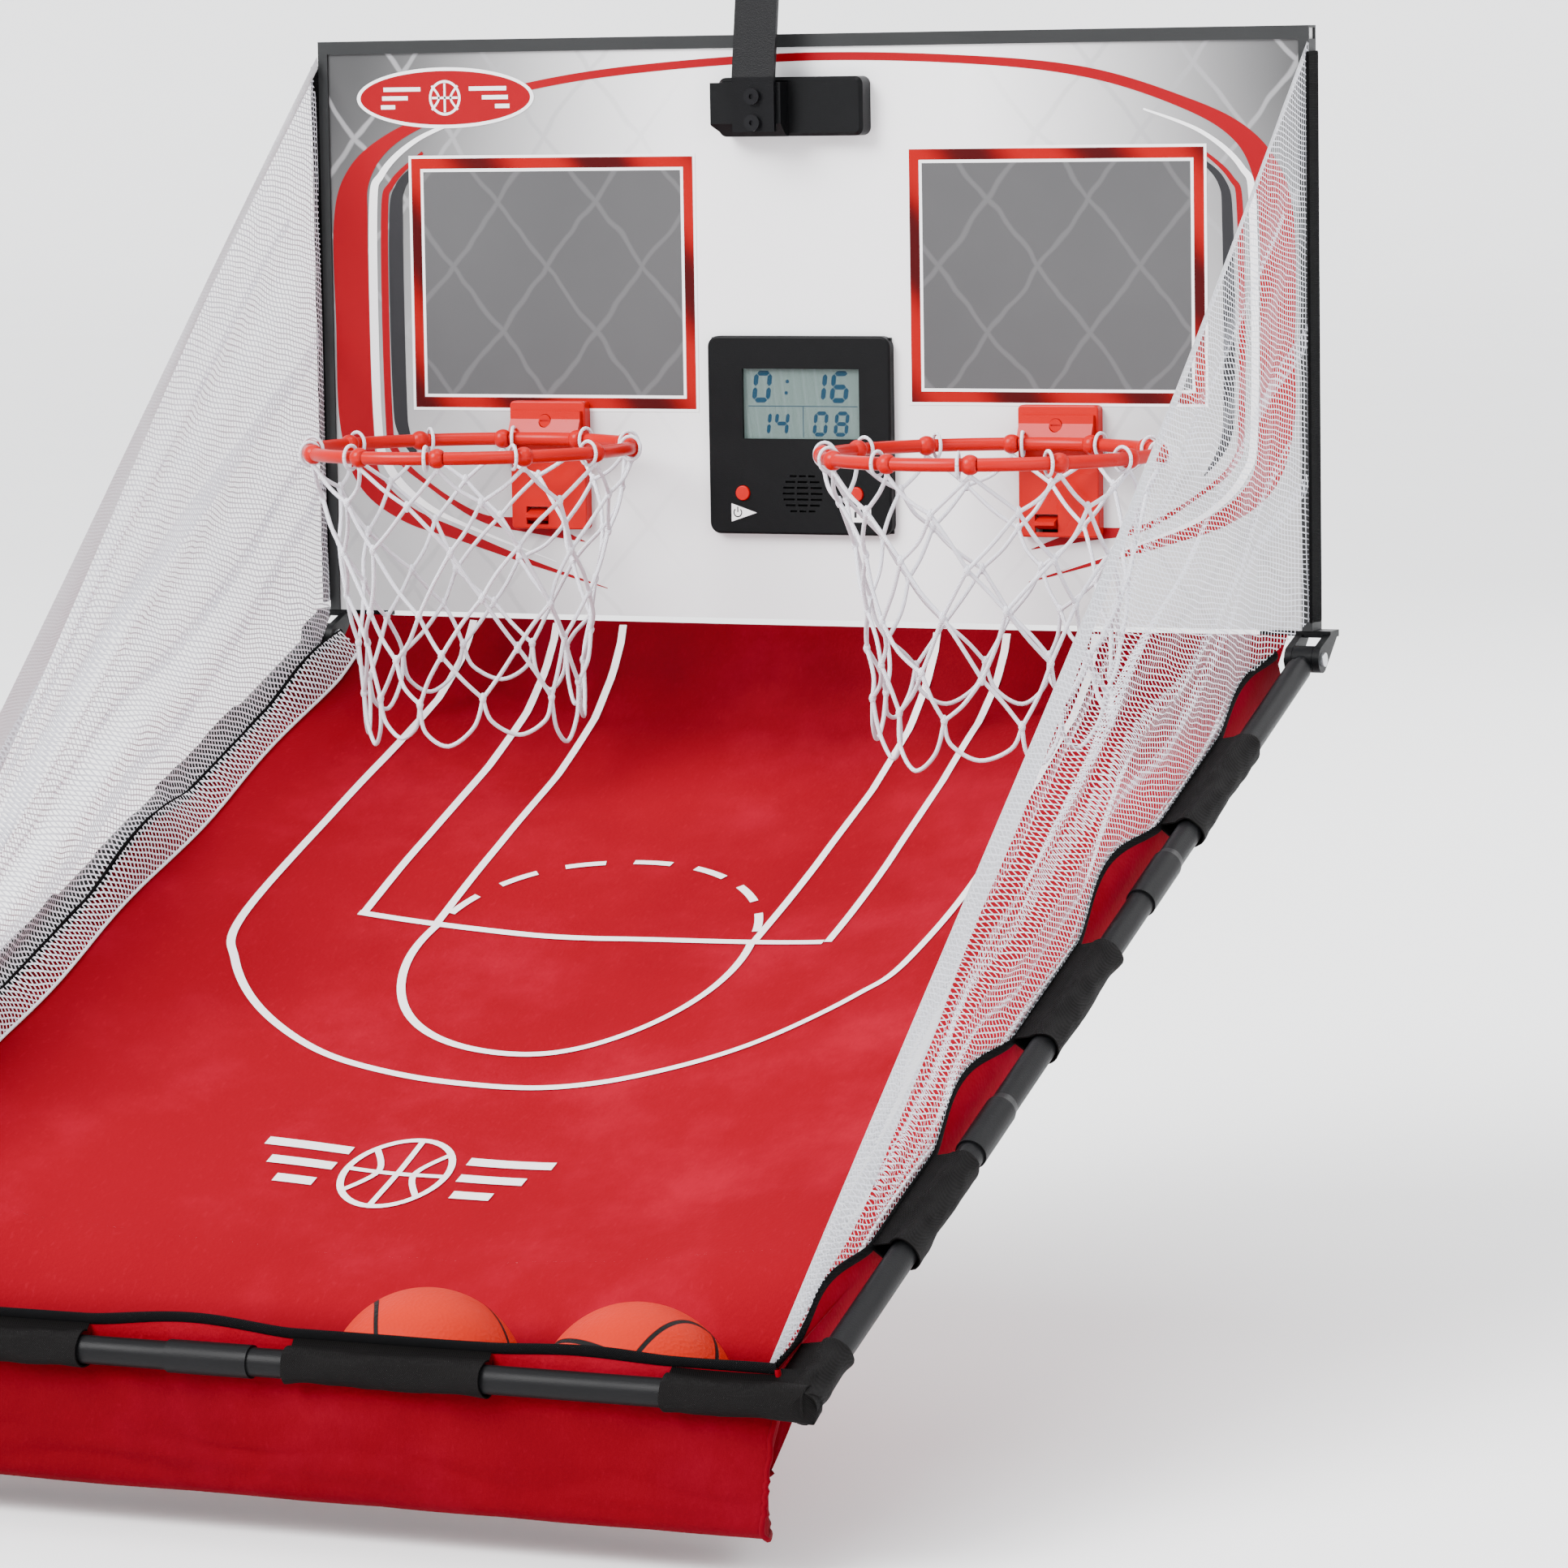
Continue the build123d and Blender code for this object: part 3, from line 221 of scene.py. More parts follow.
def woven(name, color, pitch, rough=0.8, bump=0.5, vary=0.15):
    """A plain weave: threads that cross along the surface's own directions."""
    g = Graph(name)
    x, y, z = g.split()
    turn = 2 * math.pi / pitch
    over = g.math("SINE", g.math("MULTIPLY", g.math("ADD", x, g.math("MULTIPLY", y, 0.7)), turn))
    under = g.math("SINE", g.math("MULTIPLY", g.math("SUBTRACT", z, g.math("MULTIPLY", y, 0.7)), turn))
    threads = g.math("MULTIPLY", over, under)
    patches = g.noise(30.0)
    g.set(Base_Color=g.mix(patches, rgba(color, 1 - vary), rgba(color, 1 + vary)))
    g.set(Roughness=rough, Specular_IOR_Level=0.06)
    height = g.math("ADD", threads, g.noise(600.0, 2.0))
    g.bump(height, bump, 0.0004)
    return g.material


MATT = {"Specular_IOR_Level": 0.05}
SATIN = {"Specular_IOR_Level": 0.10}
GLOSSY = {"Specular_IOR_Level": 0.16}
RED_PLASTIC = surface("red_plastic_gloss", (0.42, 0.0006, 0.0010), 0.30, 0.06, 18, 300, 0.04, **GLOSSY)
BLACK_PLASTIC = surface("black_plastic_fine", (0.0030, 0.0032, 0.0036), 0.42, 0.2, 30, 1500, 0.12, **SATIN)
TUBE_PAINT = surface("tube_powder_coat", (0.0045, 0.0045, 0.0050), 0.42, 0.2, 20, 1200, 0.15, **SATIN)
STRAP_PAINT = surface("strap_powder_coat", (0.0028, 0.0028, 0.0034), 0.36, 0.2, 20, 1400, 0.18, **SATIN)
TRIM = surface("trim_extruded", (0.024, 0.025, 0.0255), 0.45, 0.12, 14, 500, 0.08, **SATIN)
DARK_STEEL = surface("fastener_black", (0.010, 0.010, 0.011), 0.35, 0.2, 60, 900, 0.1, Metallic=0.5, **SATIN)
STEEL = surface("fastener_zinc", (0.55, 0.56, 0.58), 0.3, 0.1, 60, 900, 0.1, Metallic=1.0)
CELL_WRAP = surface("cell_wrap", (0.12, 0.13, 0.14), 0.35, 0.1, 40, 400, 0.05, Metallic=0.4)
CONTACT = surface("contact_nickel", (0.62, 0.60, 0.52), 0.3, 0.08, 60, 700, 0.08, Metallic=1.0)
CIRCUIT = surface("circuit_laminate", (0.008, 0.07, 0.022), 0.4, 0.35, 120, 900, 0.1)
SPEAKER = surface("speaker_paper", (0.012, 0.012, 0.012), 0.7, 0.2, 50, 700, 0.3, **MATT)
WHITE_CORD = woven("white_braided_cord", (0.72, 0.72, 0.78), 0.0016, 0.75, 0.6, 0.06)
SLEEVE = woven("sleeve_nylon", (0.0036, 0.0031, 0.0031), 0.0011, 0.62, 0.5, 0.3)
BINDING = woven("binding_tape", (0.0028, 0.0028, 0.0032), 0.0013, 0.8, 0.7, 0.25)
FLUFFY = woven("hook_and_loop_pile", (0.0050, 0.0050, 0.0055), 0.0009, 0.95, 1.0, 0.3)
WEBBING = woven("white_webbing", (0.74, 0.74, 0.77), 0.0018, 0.7, 0.45, 0.05)
FOAM = surface("foam_black", (0.010, 0.010, 0.011), 0.92, 0.25, 90, 1100, 0.8, **MATT)
PRINT_WHITE = surface("print_white", (0.86, 0.86, 0.87), 0.35, 0.02, 12, 300, 0.02, **SATIN)
PRINT_DARK = surface("print_dark", (0.022, 0.022, 0.024), 0.35, 0.1, 12, 300, 0.02, **SATIN)
PRINT_RED = surface("print_red", (0.25, 0.0004, 0.0062), 0.34, 0.16, 10, 300, 0.02, **SATIN)
LINE_WHITE = surface("court_line_ink", (0.80, 0.76, 0.76), 0.7, 0.05, 20, 900, 0.35, **MATT)
DIGIT_BLUE = surface("digit_blue", (0.008, 0.040, 0.075), 0.4, 0.08, 60, 300, 0.02, **SATIN)


def metallic_red():
    """Red frame print with darker and brighter reflections along it."""
    g = Graph("print_metallic_red")
    x, _, z = g.split()
    along = g.math("SINE", g.math("MULTIPLY", g.math("ADD", g.math("MULTIPLY", x, 1.3), z), 58.0))
    shine = g.math("ADD", g.math("MULTIPLY", along, 0.5), g.math("MULTIPLY", g.noise(9.0), 1.0))
    bright = g.step(0.0, 1.0, shine)
    g.set(Base_Color=g.mix(bright, (0.045, 0.0005, 0.001, 1), (0.29, 0.0015, 0.0020, 1)), Roughness=0.33)
    g.set(Specular_IOR_Level=0.10)
    return g.material


def crossed(g, across, along, slope, pitch):
    """Distance to the nearer of two sets of slanting lines, 0 on a line and 0.5 between lines."""
    lines = []
    for sign in (1, -1):
        slant = g.math("MULTIPLY", g.math("MULTIPLY_ADD", across, sign * slope, along), 1 / pitch)
        lines.append(g.math("ABSOLUTE", g.math("SUBTRACT", g.math("FRACT", slant), 0.5)))
    return g.math("MINIMUM", *lines)


def fence(g, x, z):
    """The lines of a printed woven-wire fence: 1 on a wire and 0 between wires."""
    wobble = g.math("MULTIPLY", g.noise(22.0, 2.0), 0.016)
    near = crossed(g, z, g.math("ADD", x, wobble), 0.82, 0.066)
    return g.math("SUBTRACT", 1.0, g.step(0.014, 0.045, near))


def see_through(g, share, color):
    """Lets light through the material except for a share of it."""
    clear = g.node("ShaderNodeBsdfTransparent", {"Color": color}).outputs[0]
    seen = g.node("ShaderNodeMixShader", {0: share, 1: clear, 2: g.bsdf.outputs[0]}).outputs[0]
    g.put(g.tree.nodes["Material Output"].inputs["Surface"], seen)


def printed_board():
    """White in the middle, grey towards the ends, with a faint woven-wire fence."""
    g = Graph("board_print")
    x, y, z = g.split()
    off = g.math("ABSOLUTE", g.math("SUBTRACT", x, 0.02))
    ends = g.step(0.09, 0.33, off)
    up = g.step(BOTTOM - 0.02, TOP, z)
    ends = g.math("MULTIPLY", g.math("POWER", ends, 0.62), g.math("MULTIPLY_ADD", up, 0.45, 0.52))
    base = g.mix(ends, (0.86, 0.86, 0.87, 1), (0.030, 0.0305, 0.031, 1))
    wires = g.math("MULTIPLY", g.math("MULTIPLY", fence(g, x, z), ends), 0.8)
    print_side = g.mix(wires, base, (0.30, 0.30, 0.31, 1))
    plain = g.mix(g.noise(40.0), (0.60, 0.60, 0.59, 1), (0.70, 0.70, 0.69, 1))
    behind = g.step(FACE + 0.0006, FACE + 0.0012, y)
    g.set(Base_Color=g.mix(behind, print_side, plain), Roughness=0.34, Specular_IOR_Level=0.15)
    g.bump(g.noise(500.0, 2.0), 0.02)
    return g.material


def target_print():
    """Grey target panels with the fence showing faintly through."""
    g = Graph("print_grey")
    x, _, z = g.split()
    tone = g.mix(g.noise(7.0), (0.064, 0.064, 0.066, 1), (0.086, 0.086, 0.088, 1))
    wires = g.math("MULTIPLY", fence(g, x, z), 0.30)
    g.set(Base_Color=g.mix(wires, tone, (0.17, 0.17, 0.175, 1)), Roughness=0.36, Specular_IOR_Level=0.10)
    g.bump(g.noise(300.0, 2.0), 0.02)
    return g.material


def court_cloth():
    """Bonded red cloth: pressed fibre flecks, pale patches, and painted shade under the board and in the pocket
    under the balls.
    """
    g = Graph("court_nonwoven")
    _, y, z = g.split()
    patch = g.step(0.44, 0.80, g.noise(8.5, 6.0, roughness=0.66))
    base = g.mix(patch, (0.200, 0.0002, 0.0068, 1), (0.285, 0.0020, 0.0165, 1))
    fibre = g.noise(420.0, 4.0, g.stretch(1.0, 0.35, 0.6))
    dark = g.step(0.35, 0.65, g.noise(3.2, 3.0))
    base = g.mix(g.math("MULTIPLY", dark, 0.4), base, (0.130, 0.0002, 0.0040, 1))
    flecks = g.math("MULTIPLY", g.step(0.55, 0.8, fibre), 0.25)
    base = g.mix(flecks, base, (0.31, 0.005, 0.020, 1))
    # painted shade: the cloth is darkened near the board, where the board's shadow falls, and in the pocket below
    # the bar
    shade_under_board = g.step(FACE - 0.13, FACE - 0.01, y)
    shade_below_bar = g.step(BAR_Z + 0.005, BAR_Z - 0.020, z)
    shade = g.math("MAXIMUM", g.math("MULTIPLY", shade_under_board, 0.62), g.math("MULTIPLY", shade_below_bar, 0.60))
    shade = g.math("MULTIPLY", shade, g.math("MULTIPLY_ADD", g.noise(11.0, 3.0), 0.8, 0.6), clamp=True)
    g.set(Base_Color=g.mix(shade, base, (0.040, 0.0002, 0.0016, 1)), Roughness=0.78, Specular_IOR_Level=0.03)
    dimples = g.node("ShaderNodeTexVoronoi", {"Vector": g.coord, "Scale": 420.0}).outputs["Distance"]
    g.bump(g.math("ADD", dimples, fibre), 0.25, 0.0006)
    return g.material


def side_mesh(name, cover):
    """Knitted white mesh: crossing threads that cover a share of the pitch, and open holes."""
    g = Graph(name)
    _, y, z = g.split()
    drift = g.math("MULTIPLY", g.noise(16.0, 2.0), 0.010)
    along = g.math("ADD", g.math("MULTIPLY_ADD", y, -0.76, g.math("MULTIPLY", z, -0.65)), drift)
    across = g.math("ADD", g.math("MULTIPLY_ADD", y, 0.65, g.math("MULTIPLY", z, -0.76)), drift)
    thread = g.math("LESS_THAN", crossed(g, across, along, 0.8, 0.0042), cover)
    # painted shade: the white threads are dimmed and tinted bluish grey, and the tone varies at random
    g.set(Base_Color=g.mix(g.noise(35.0), (0.66, 0.68, 0.75, 1), (0.84, 0.84, 0.89, 1)))
    g.set(Roughness=0.6, Specular_IOR_Level=0.15)
    see_through(g, thread, (1, 1, 1, 1))
    return g.material


def clear_lens():
    """Clear plastic: mostly see-through, with a faint dark gloss."""
    g = Graph("lens_clear")
    g.set(Base_Color=(0.02, 0.02, 0.02, 1), Roughness=g.math("MULTIPLY_ADD", g.noise(40.0), 0.05, 0.03))
    see_through(g, 0.06, (0.94, 0.96, 0.95, 1))
    return g.material


def display_film():
    """The grey-green film behind the digits, with a faint painted glow."""
    g = Graph("display_film")
    tone = g.noise(9.0, 2.0)
    g.set(Base_Color=g.mix(tone, (0.18, 0.25, 0.245, 1), (0.23, 0.30, 0.295, 1)), Roughness=0.5)
    # painted glow: a faint emission that brightens the unlit film
    g.set(Emission_Color=(0.42, 0.52, 0.49, 1), Emission_Strength=0.10)
    g.bump(g.noise(900.0), 0.03)
    return g.material


def ball_skin(name, centre, turn):
    """Pebbled orange rubber with black seams: two great circles and two side loops."""
    g = Graph(name)
    moved = g.node("ShaderNodeVectorMath", {0: g.coord, 1: tuple(centre)}, operation="SUBTRACT")
    turned = g.node("ShaderNodeMapping", {"Vector": moved.outputs[0], "Rotation": turn})
    unit = g.node("ShaderNodeVectorMath", {0: turned.outputs[0]}, operation="NORMALIZE").outputs[0]
    x, y, z = g.split(unit)
    bow = g.math("MULTIPLY_ADD", g.math("POWER", x, 2.0), 0.42, 0.46)
    loop = g.math("SUBTRACT", g.math("ABSOLUTE", y), bow)
    near = g.math("MINIMUM", g.math("ABSOLUTE", x), g.math("ABSOLUTE", z))
    near = g.math("MINIMUM", near, g.math("ABSOLUTE", loop))
    skin = g.step(0.024, 0.034, near)
    patches = g.noise(14.0)
    orange = g.mix(patches, (0.37, 0.0085, 0.0012, 1), (0.46, 0.0140, 0.0020, 1))
    g.set(Base_Color=g.mix(skin, (0.005, 0.0045, 0.0045, 1), orange), Roughness=0.52, Specular_IOR_Level=0.08)
    pebbles = g.node("ShaderNodeTexVoronoi", {"Vector": g.coord, "Scale": 520.0}).outputs["Distance"]
    height = g.math("MULTIPLY_ADD", skin, 2.0, g.math("MULTIPLY", pebbles, 0.8))
    g.bump(height, 0.35, 0.0008)
    return g.material


BOARD_PRINT = printed_board()
METALLIC_RED = metallic_red()
PRINT_GREY = target_print()
COURT_CLOTH = court_cloth()
SIDE_MESH = {"left": side_mesh("left_mesh_threads", 0.150), "right": side_mesh("right_mesh_threads", 0.108)}
FINISH = {
    "printed_board": BOARD_PRINT,
    "edge_trim": TRIM,
    "hanger_steel": STRAP_PAINT,
    "foam": FOAM,
    "black_plastic": BLACK_PLASTIC,
    "dark_fastener": DARK_STEEL,
    "steel_fastener": STEEL,
    "hook_and_loop": FLUFFY,
    "clear_lens": clear_lens(),
    "liquid_crystal": display_film(),
    "circuit": CIRCUIT,
    "speaker_black": SPEAKER,
    "switch_black": BLACK_PLASTIC,
    "cell_can": CELL_WRAP,
    "contact_metal": CONTACT,
    "red_plastic": RED_PLASTIC,
    "red_fastener": RED_PLASTIC,
    "red_button": RED_PLASTIC,
    "net_cord": WHITE_CORD,
    "side_mesh": SIDE_MESH["left"],
    "white_webbing": WEBBING,
    "black_tube": TUBE_PAINT,
    "sleeve_cloth": SLEEVE,
    "court_cloth": COURT_CLOTH,
    "ball_rubber": RED_PLASTIC,
}
BALL_TURNS = {"first_ball": (0.5, 0.35, 0.9), "second_ball": (0.75, -0.3, 2.0)}
for part in frame["record"]["subparts"]:
    finish = FINISH[part["material_slot"]]
    if part["node"] in BALL_TURNS:
        centre = [middle(part["node"], axis) for axis in range(3)]
        finish = ball_skin(part["node"] + "_skin", centre, BALL_TURNS[part["node"]])
    frame["nodes"][part["node"]].material_slots[0].material = finish


# ---- meshes
class Shape:
    """Gathers several simple forms into one mesh."""

    def __init__(self):
        self.points = []
        self.faces = []

    def add(self, points, faces):
        start = len(self.points)
        self.points += [tuple(p) for p in points]
        self.faces += [tuple(start + i for i in face) for face in faces]

    def grid(self, rows, closed=False):
        """Quads between rows of points; closed joins each row's ends."""
        width = len(rows[0])
        span = width if closed else width - 1
        faces = []
        for i in range(len(rows) - 1):
            for j in range(span):
                k = (j + 1) % width
                faces.append((i * width + j, i * width + k, (i + 1) * width + k, (i + 1) * width + j))
        self.add([p for row in rows for p in row], faces)

    def link(self, name, material):
        """The mesh as an object, smooth and with its material."""
        mesh = bpy.data.meshes.new(name)
        mesh.from_pydata(self.points, [], self.faces)
        mesh.materials.append(material)
        mesh.polygons.foreach_set("use_smooth", [True] * len(mesh.polygons))
        mesh.update()
        return add_object(name, mesh)

    def make(self, name, material, slot, body=None):
        """The mesh as an object, which may ride a body; the slot is not used."""
        piece = self.link(name, material)
        if body:
            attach(piece, body)
        return piece


def flow(points, steps=10, closed=False):
    """A smooth line through the points, each with as many values as they have."""
    count = len(points)
    line = []
    for i in range(count if closed else count - 1):
        near = [i + k for k in (-1, 0, 1, 2)]
        four = [points[j % count if closed else min(max(j, 0), count - 1)] for j in near]
        for step in range(steps):
            t = step / steps
            value = []
            for a, b, c, d in zip(*four):
                value.append(0.5 * (2 * b + (c - a) * t + (2 * a - 5 * b + 4 * c - d) * t * t
                                    + (3 * b - a - 3 * c + d) * t ** 3))
            line.append(tuple(value))
    if not closed:
        line.append(tuple(points[-1]))
    return line


def stroke(shape, points, place, closed=False):
    """A flat band along points (a, b, width) of a surface; place puts (a, b) in space."""
    rows = []
    count = len(points)
    for i, (a, b, width) in enumerate(points):
        before = points[(i - 1) % count] if closed else points[max(i - 1, 0)]
        after = points[(i + 1) % count] if closed else points[min(i + 1, count - 1)]
        da, db = after[0] - before[0], after[1] - before[1]
        size = math.hypot(da, db) or 1.0
        na, nb = -db / size * width / 2, da / size * width / 2
        rows.append([place(a - na, b - nb), place(a + na, b + nb)])
    if closed:
        rows.append(rows[0])
    shape.grid(rows)


def outline(shape, points, place):
    """One flat face with this outline."""
    shape.add([place(a, b) for a, b in points], [tuple(range(len(points)))])


def even(points, width):
    """The same points with one width."""
    return [(a, b, width) for a, b in points]


def ellipse(a, b, ra, rb, count=64, start=0.0, sweep=360.0):
    """Points of an ellipse, or of the part of it that sweeps some degrees."""
    angles = [math.radians(start + sweep * i / count) for i in range(count + (sweep < 360))]
    return [(a + ra * math.cos(t), b + rb * math.sin(t)) for t in angles]


def tube_along(shape, line, radius, sides=8):
    """A round cord along points; radius may be a number or one per point."""
    rows = []
    normal = None
    for i, p in enumerate(line):
        p = Vector(p)
        ahead = (Vector(line[min(i + 1, len(line) - 1)]) - Vector(line[max(i - 1, 0)])).normalized()
        if normal is None:
            normal = ahead.orthogonal().normalized()
        normal = (normal - ahead * normal.dot(ahead)).normalized()
        other = ahead.cross(normal)
        r = radius[i] if isinstance(radius, list) else radius
        rows.append(oval(p, normal, other, r, r, sides))
    shape.grid(rows, closed=True)


def mesh_area(piece):
    return sum(face.area for face in piece.data.polygons)


def line_length(points):
    return sum((Vector(a) - Vector(b)).length for a, b in zip(points, points[1:]))


# ---- printed backboard
def plane(y):
    """Puts (x, z), in mm from the centre plane and the board's bottom edge, on an upright plane."""
    def place(x, z):
        return (x * MM, y, BOTTOM + z * MM)
    return place


def on_board(lift):
    return plane(FACE - lift)


def rectangle(x0, x1, z0, z1):
    return [(x0, z0), (x1, z0), (x1, z1), (x0, z1)]


def print_layers():
    """The printed outline, tails, targets and badge, as thin layers on the board."""
    red, white, dark, grey, shine = Shape(), Shape(), Shape(), Shape(), Shape()
    arch = [(-135, 17, 0.5), (-190, 33, 3.5), (-238, 49, 7), (-275, 62, 11), (-301, 84, 17), (-309, 120, 24),
            (-310, 180, 24), (-310, 245, 24), (-304, 274, 17), (-284, 295, 9), (-250, 311, 6), (-200, 326, 5),
            (-120, 338, 5), (0, 345, 5), (110, 342, 5), (190, 333, 6), (252, 314, 7), (286, 296, 11),
            (303, 272, 18), (309, 240, 22), (309, 180, 22), (308, 125, 22), (300, 90, 16), (276, 68, 10),
            (240, 54, 7), (195, 40, 3.5), (148, 26, 0.5)]
    stroke(red, flow(arch), on_board(0.00020))
    inner = [(-170, 33, 0.5), (-225, 52, 2), (-262, 68, 4), (-287, 92, 6), (-294, 125, 6), (-294, 250, 6),
             (-287, 276, 4.5), (-262, 297, 3), (-225, 311, 1.5)]
    thin = [(-150, 46, 0.5), (-185, 55, 9), (-222, 60, 5), (-258, 80, 3), (-281, 100, 5), (-286, 128, 5),
            (-286, 246, 5), (-280, 270, 4), (-258, 289, 2)]
    shadow = [(-262, 92, 1), (-275, 112, 8), (-278, 140, 10), (-278, 240, 10), (-274, 268, 7), (-255, 285, 2)]
    for shape, line, lift, gain in ((white, inner, 0.00026, 0.8), (red, thin, 0.00022, 0.8),
                                    (dark, shadow, 0.00014, 0.7)):
        stroke(shape, flow(line), on_board(lift))
        stroke(shape, flow([(-x, z, w * gain) for x, z, w in line]), on_board(lift))
    for x0, x1, z0, z1 in ((-268, -70, 127.5, 287), (71, 265, 133, 290)):
        for shape, inset, lift in ((white, 0, 0.00030), (shine, 1.8, 0.00036), (white, 8.3, 0.00042),
                                   (grey, 10.2, 0.00048)):
            outline(shape, rectangle(x0 + inset, x1 - inset, z0 + inset, z1 - inset), on_board(lift))
    x, z = badge = (-241.5, 323)
    for shape, half_wide, half_tall, lift in ((white, 62, 19, 0.00034), (red, 59.5, 16.8, 0.00042)):
        outline(shape, ellipse(*badge, half_wide, half_tall), on_board(lift))
    for shape, radius, lift in ((white, 11, 0.00050), (red, 9.4, 0.00056)):
        outline(shape, ellipse(*badge, radius, radius, 40), on_board(lift))
    seams = [[(x - 9, z), (x + 9, z)], [(x, z - 9), (x, z + 9)]]
    for offset in (-9, 9):
        seams.append(flow([(x + offset, z - 7.5), (x + offset * 0.45, z), (x + offset, z + 7.5)], 6))
    for seam in seams:
        stroke(white, even(seam, 1.4), on_board(0.00062))
    for side in (-1, 1):
        for k, half in enumerate((13, 9, 5)):
            mid, up = x + side * (30 + 5 * k), z + 5.5 * (1 - k)
            stroke(white, even([(mid - half, up), (mid + half, up)], 2.6), on_board(0.00050))
    layers = (("print_red_outline", red, PRINT_RED), ("print_white_lines", white, PRINT_WHITE),
              ("print_dark_shadow", dark, PRINT_DARK), ("print_target_fill", grey, PRINT_GREY),
              ("print_target_frame", shine, METALLIC_RED))
    for name, shape, material in layers:
        shape.make(name, material, "printed_board", "board")


DIGIT_LEAN = 0.12
SEGMENTS = {"0": "abcdef", "1": "bc", "4": "bcfg", "6": "acdefg", "8": "abcdefg"}


def digit(shape, mark, x, z, tall, place):
    """A seven-segment digit whose lower left corner is at (x, z)."""
    wide, thick, gap = tall * 0.55, tall * 0.19, tall * 0.015
    half = tall / 2
    bars = {"a": (0, tall, 1), "g": (0, half, 1), "d": (0, 0, 1), "f": (0, half, 0), "e": (0, 0, 0),
            "b": (wide, half, 0), "c": (wide, 0, 0)}
    for key in SEGMENTS[mark]:
        a, b, level = bars[key]
        length = (wide if level else half) - 2 * gap
        t = thick / 2
        near, far = gap, gap + length
        points = [(near, 0), (near + t, t), (far - t, t), (far, 0), (far - t, -t), (near + t, -t)]
        if not level:
            points = [(q, p) for p, q in points]
        points = [(x + a + p + (b + q) * DIGIT_LEAN, z + b + q) for p, q in points]
        outline(shape, points, place)


def scorer_marks():
    """The display's digits and the plain marks printed by the buttons."""
    digits, labels, ink = Shape(), Shape(), Shape()
    on_panel = plane(PANEL_FRONT - 0.00003)
    on_label = plane(SCORER_FACE - 0.00012)
    on_ink = plane(SCORER_FACE - 0.0002)
    for marks, x_all, z, tall in (("016", (-31, 6, 21), 135.5, 16.5),
                                  ("1408", (-29, -17, 9, 23), 114.6, 13.0)):
        for mark, x in zip(marks, x_all):
            digit(digits, mark, x, z, tall, on_panel)
    for z in (140, 147):
        outline(digits, ellipse(-10 + (z - 135) * DIGIT_LEAN, z, 1.2, 1.2, 20), on_panel)
    for line in ([(-35, 131.8), (38, 131.8)], [(1.8, 131.8), (1.8, 112.6)]):
        stroke(digits, even(line, 0.5), on_panel)
    outline(labels, [(-46, 60.6), (-29, 66.2), (-46, 71.8)], on_label)
    outline(labels, rectangle(29.5, 47.5, 61.2, 70.8), on_label)
    stroke(ink, even(ellipse(-41.8, 66.2, 2.6, 2.6, 30, 130, 280), 0.8), on_ink)
    stroke(ink, even([(-41.8, 66.4), (-41.8, 69.8)], 0.8), on_ink)
    for k in range(3):
        stroke(ink, even([(33 + 4.2 * k, 64), (33 + 4.2 * k, 66.2 + 1.6 * k)], 1.6), on_ink)
    digits.make("display_digits", DIGIT_BLUE, "liquid_crystal", "board")
    labels.make("scorer_labels", PRINT_WHITE, "black_plastic", "board")
    ink.make("scorer_label_ink", PRINT_DARK, "black_plastic", "board")


# ---- court and pocket
COURT_END = 0.645
COURT_LEVEL = -0.007
COURT_SAG = 0.036
COURT_EVEN = 0.045
# distance down the ramp, height of the cloth's edge over the tubes, and sag in the middle
COURT_KNOTS = (
    (-0.017, 0.0072, 0.001),
    (-0.008, 0.003, 0.008),
    (0.012, -0.005, 0.014),
    (COURT_EVEN, COURT_LEVEL, 0.025),
    (0.110, COURT_LEVEL, 0.033),
    (0.200, COURT_LEVEL, COURT_SAG),
    (1.000, COURT_LEVEL, COURT_SAG),
)


def court(x, down):
    """A point of the court's upper face."""
    share = x / COURT_HALF
    for (d0, l0, s0), (d1, l1, s1) in zip(COURT_KNOTS, COURT_KNOTS[1:]):
        if down <= d1:
            break
    t = (down - d0) / (d1 - d0)
    level, sag = l0 + (l1 - l0) * t, s0 + (s1 - s0) * t
    calm = smooth(-0.017, 0.06, down)
    edge = smooth(1.0, 0.9, abs(share))
    ripple = wave(x, down, 0.3, 0.16) * 0.0045 + wave(x, down * 0.5, 2.0, 0.055) * 0.0013
    gather = math.sin(abs(x) * 210) * 0.0018 * smooth(0.16, 0.02, down) * smooth(0.19, 0.29, abs(x))
    height = level - sag * (1 - share * share) + (ripple * edge + gather) * calm
    return on_ramp(x, down, height)


def court_top(x, y):
    """The height of the court's upper face under a place."""
    down = (HINGE[1] - y) / math.cos(RAMP_ANGLE)
    for _ in range(4):
        down += (court(x, down).y - y) / math.cos(RAMP_ANGLE)
    return court(x, down).z


def court_piece():
    """The court's cloth, with its width and length measured along it."""
    shape = Shape()
    downs = [-0.017, -0.012, -0.008, 0.002, 0.012, 0.022, 0.033]
    downs += [COURT_EVEN + (COURT_END - COURT_EVEN) * i / 110 for i in range(111)]
    widths = [-COURT_HALF + 2 * COURT_HALF * i / 130 for i in range(131)]
    shape.grid([[court(x, d) for x in widths] for d in downs])
    piece = shape.make("court_cloth", COURT_CLOTH, "court_cloth")
    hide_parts("court_sling")
    wide = line_length([court(x, 0.3) for x in widths])
    long = line_length([court(0.1, d) for d in downs])
    return piece, wide, long


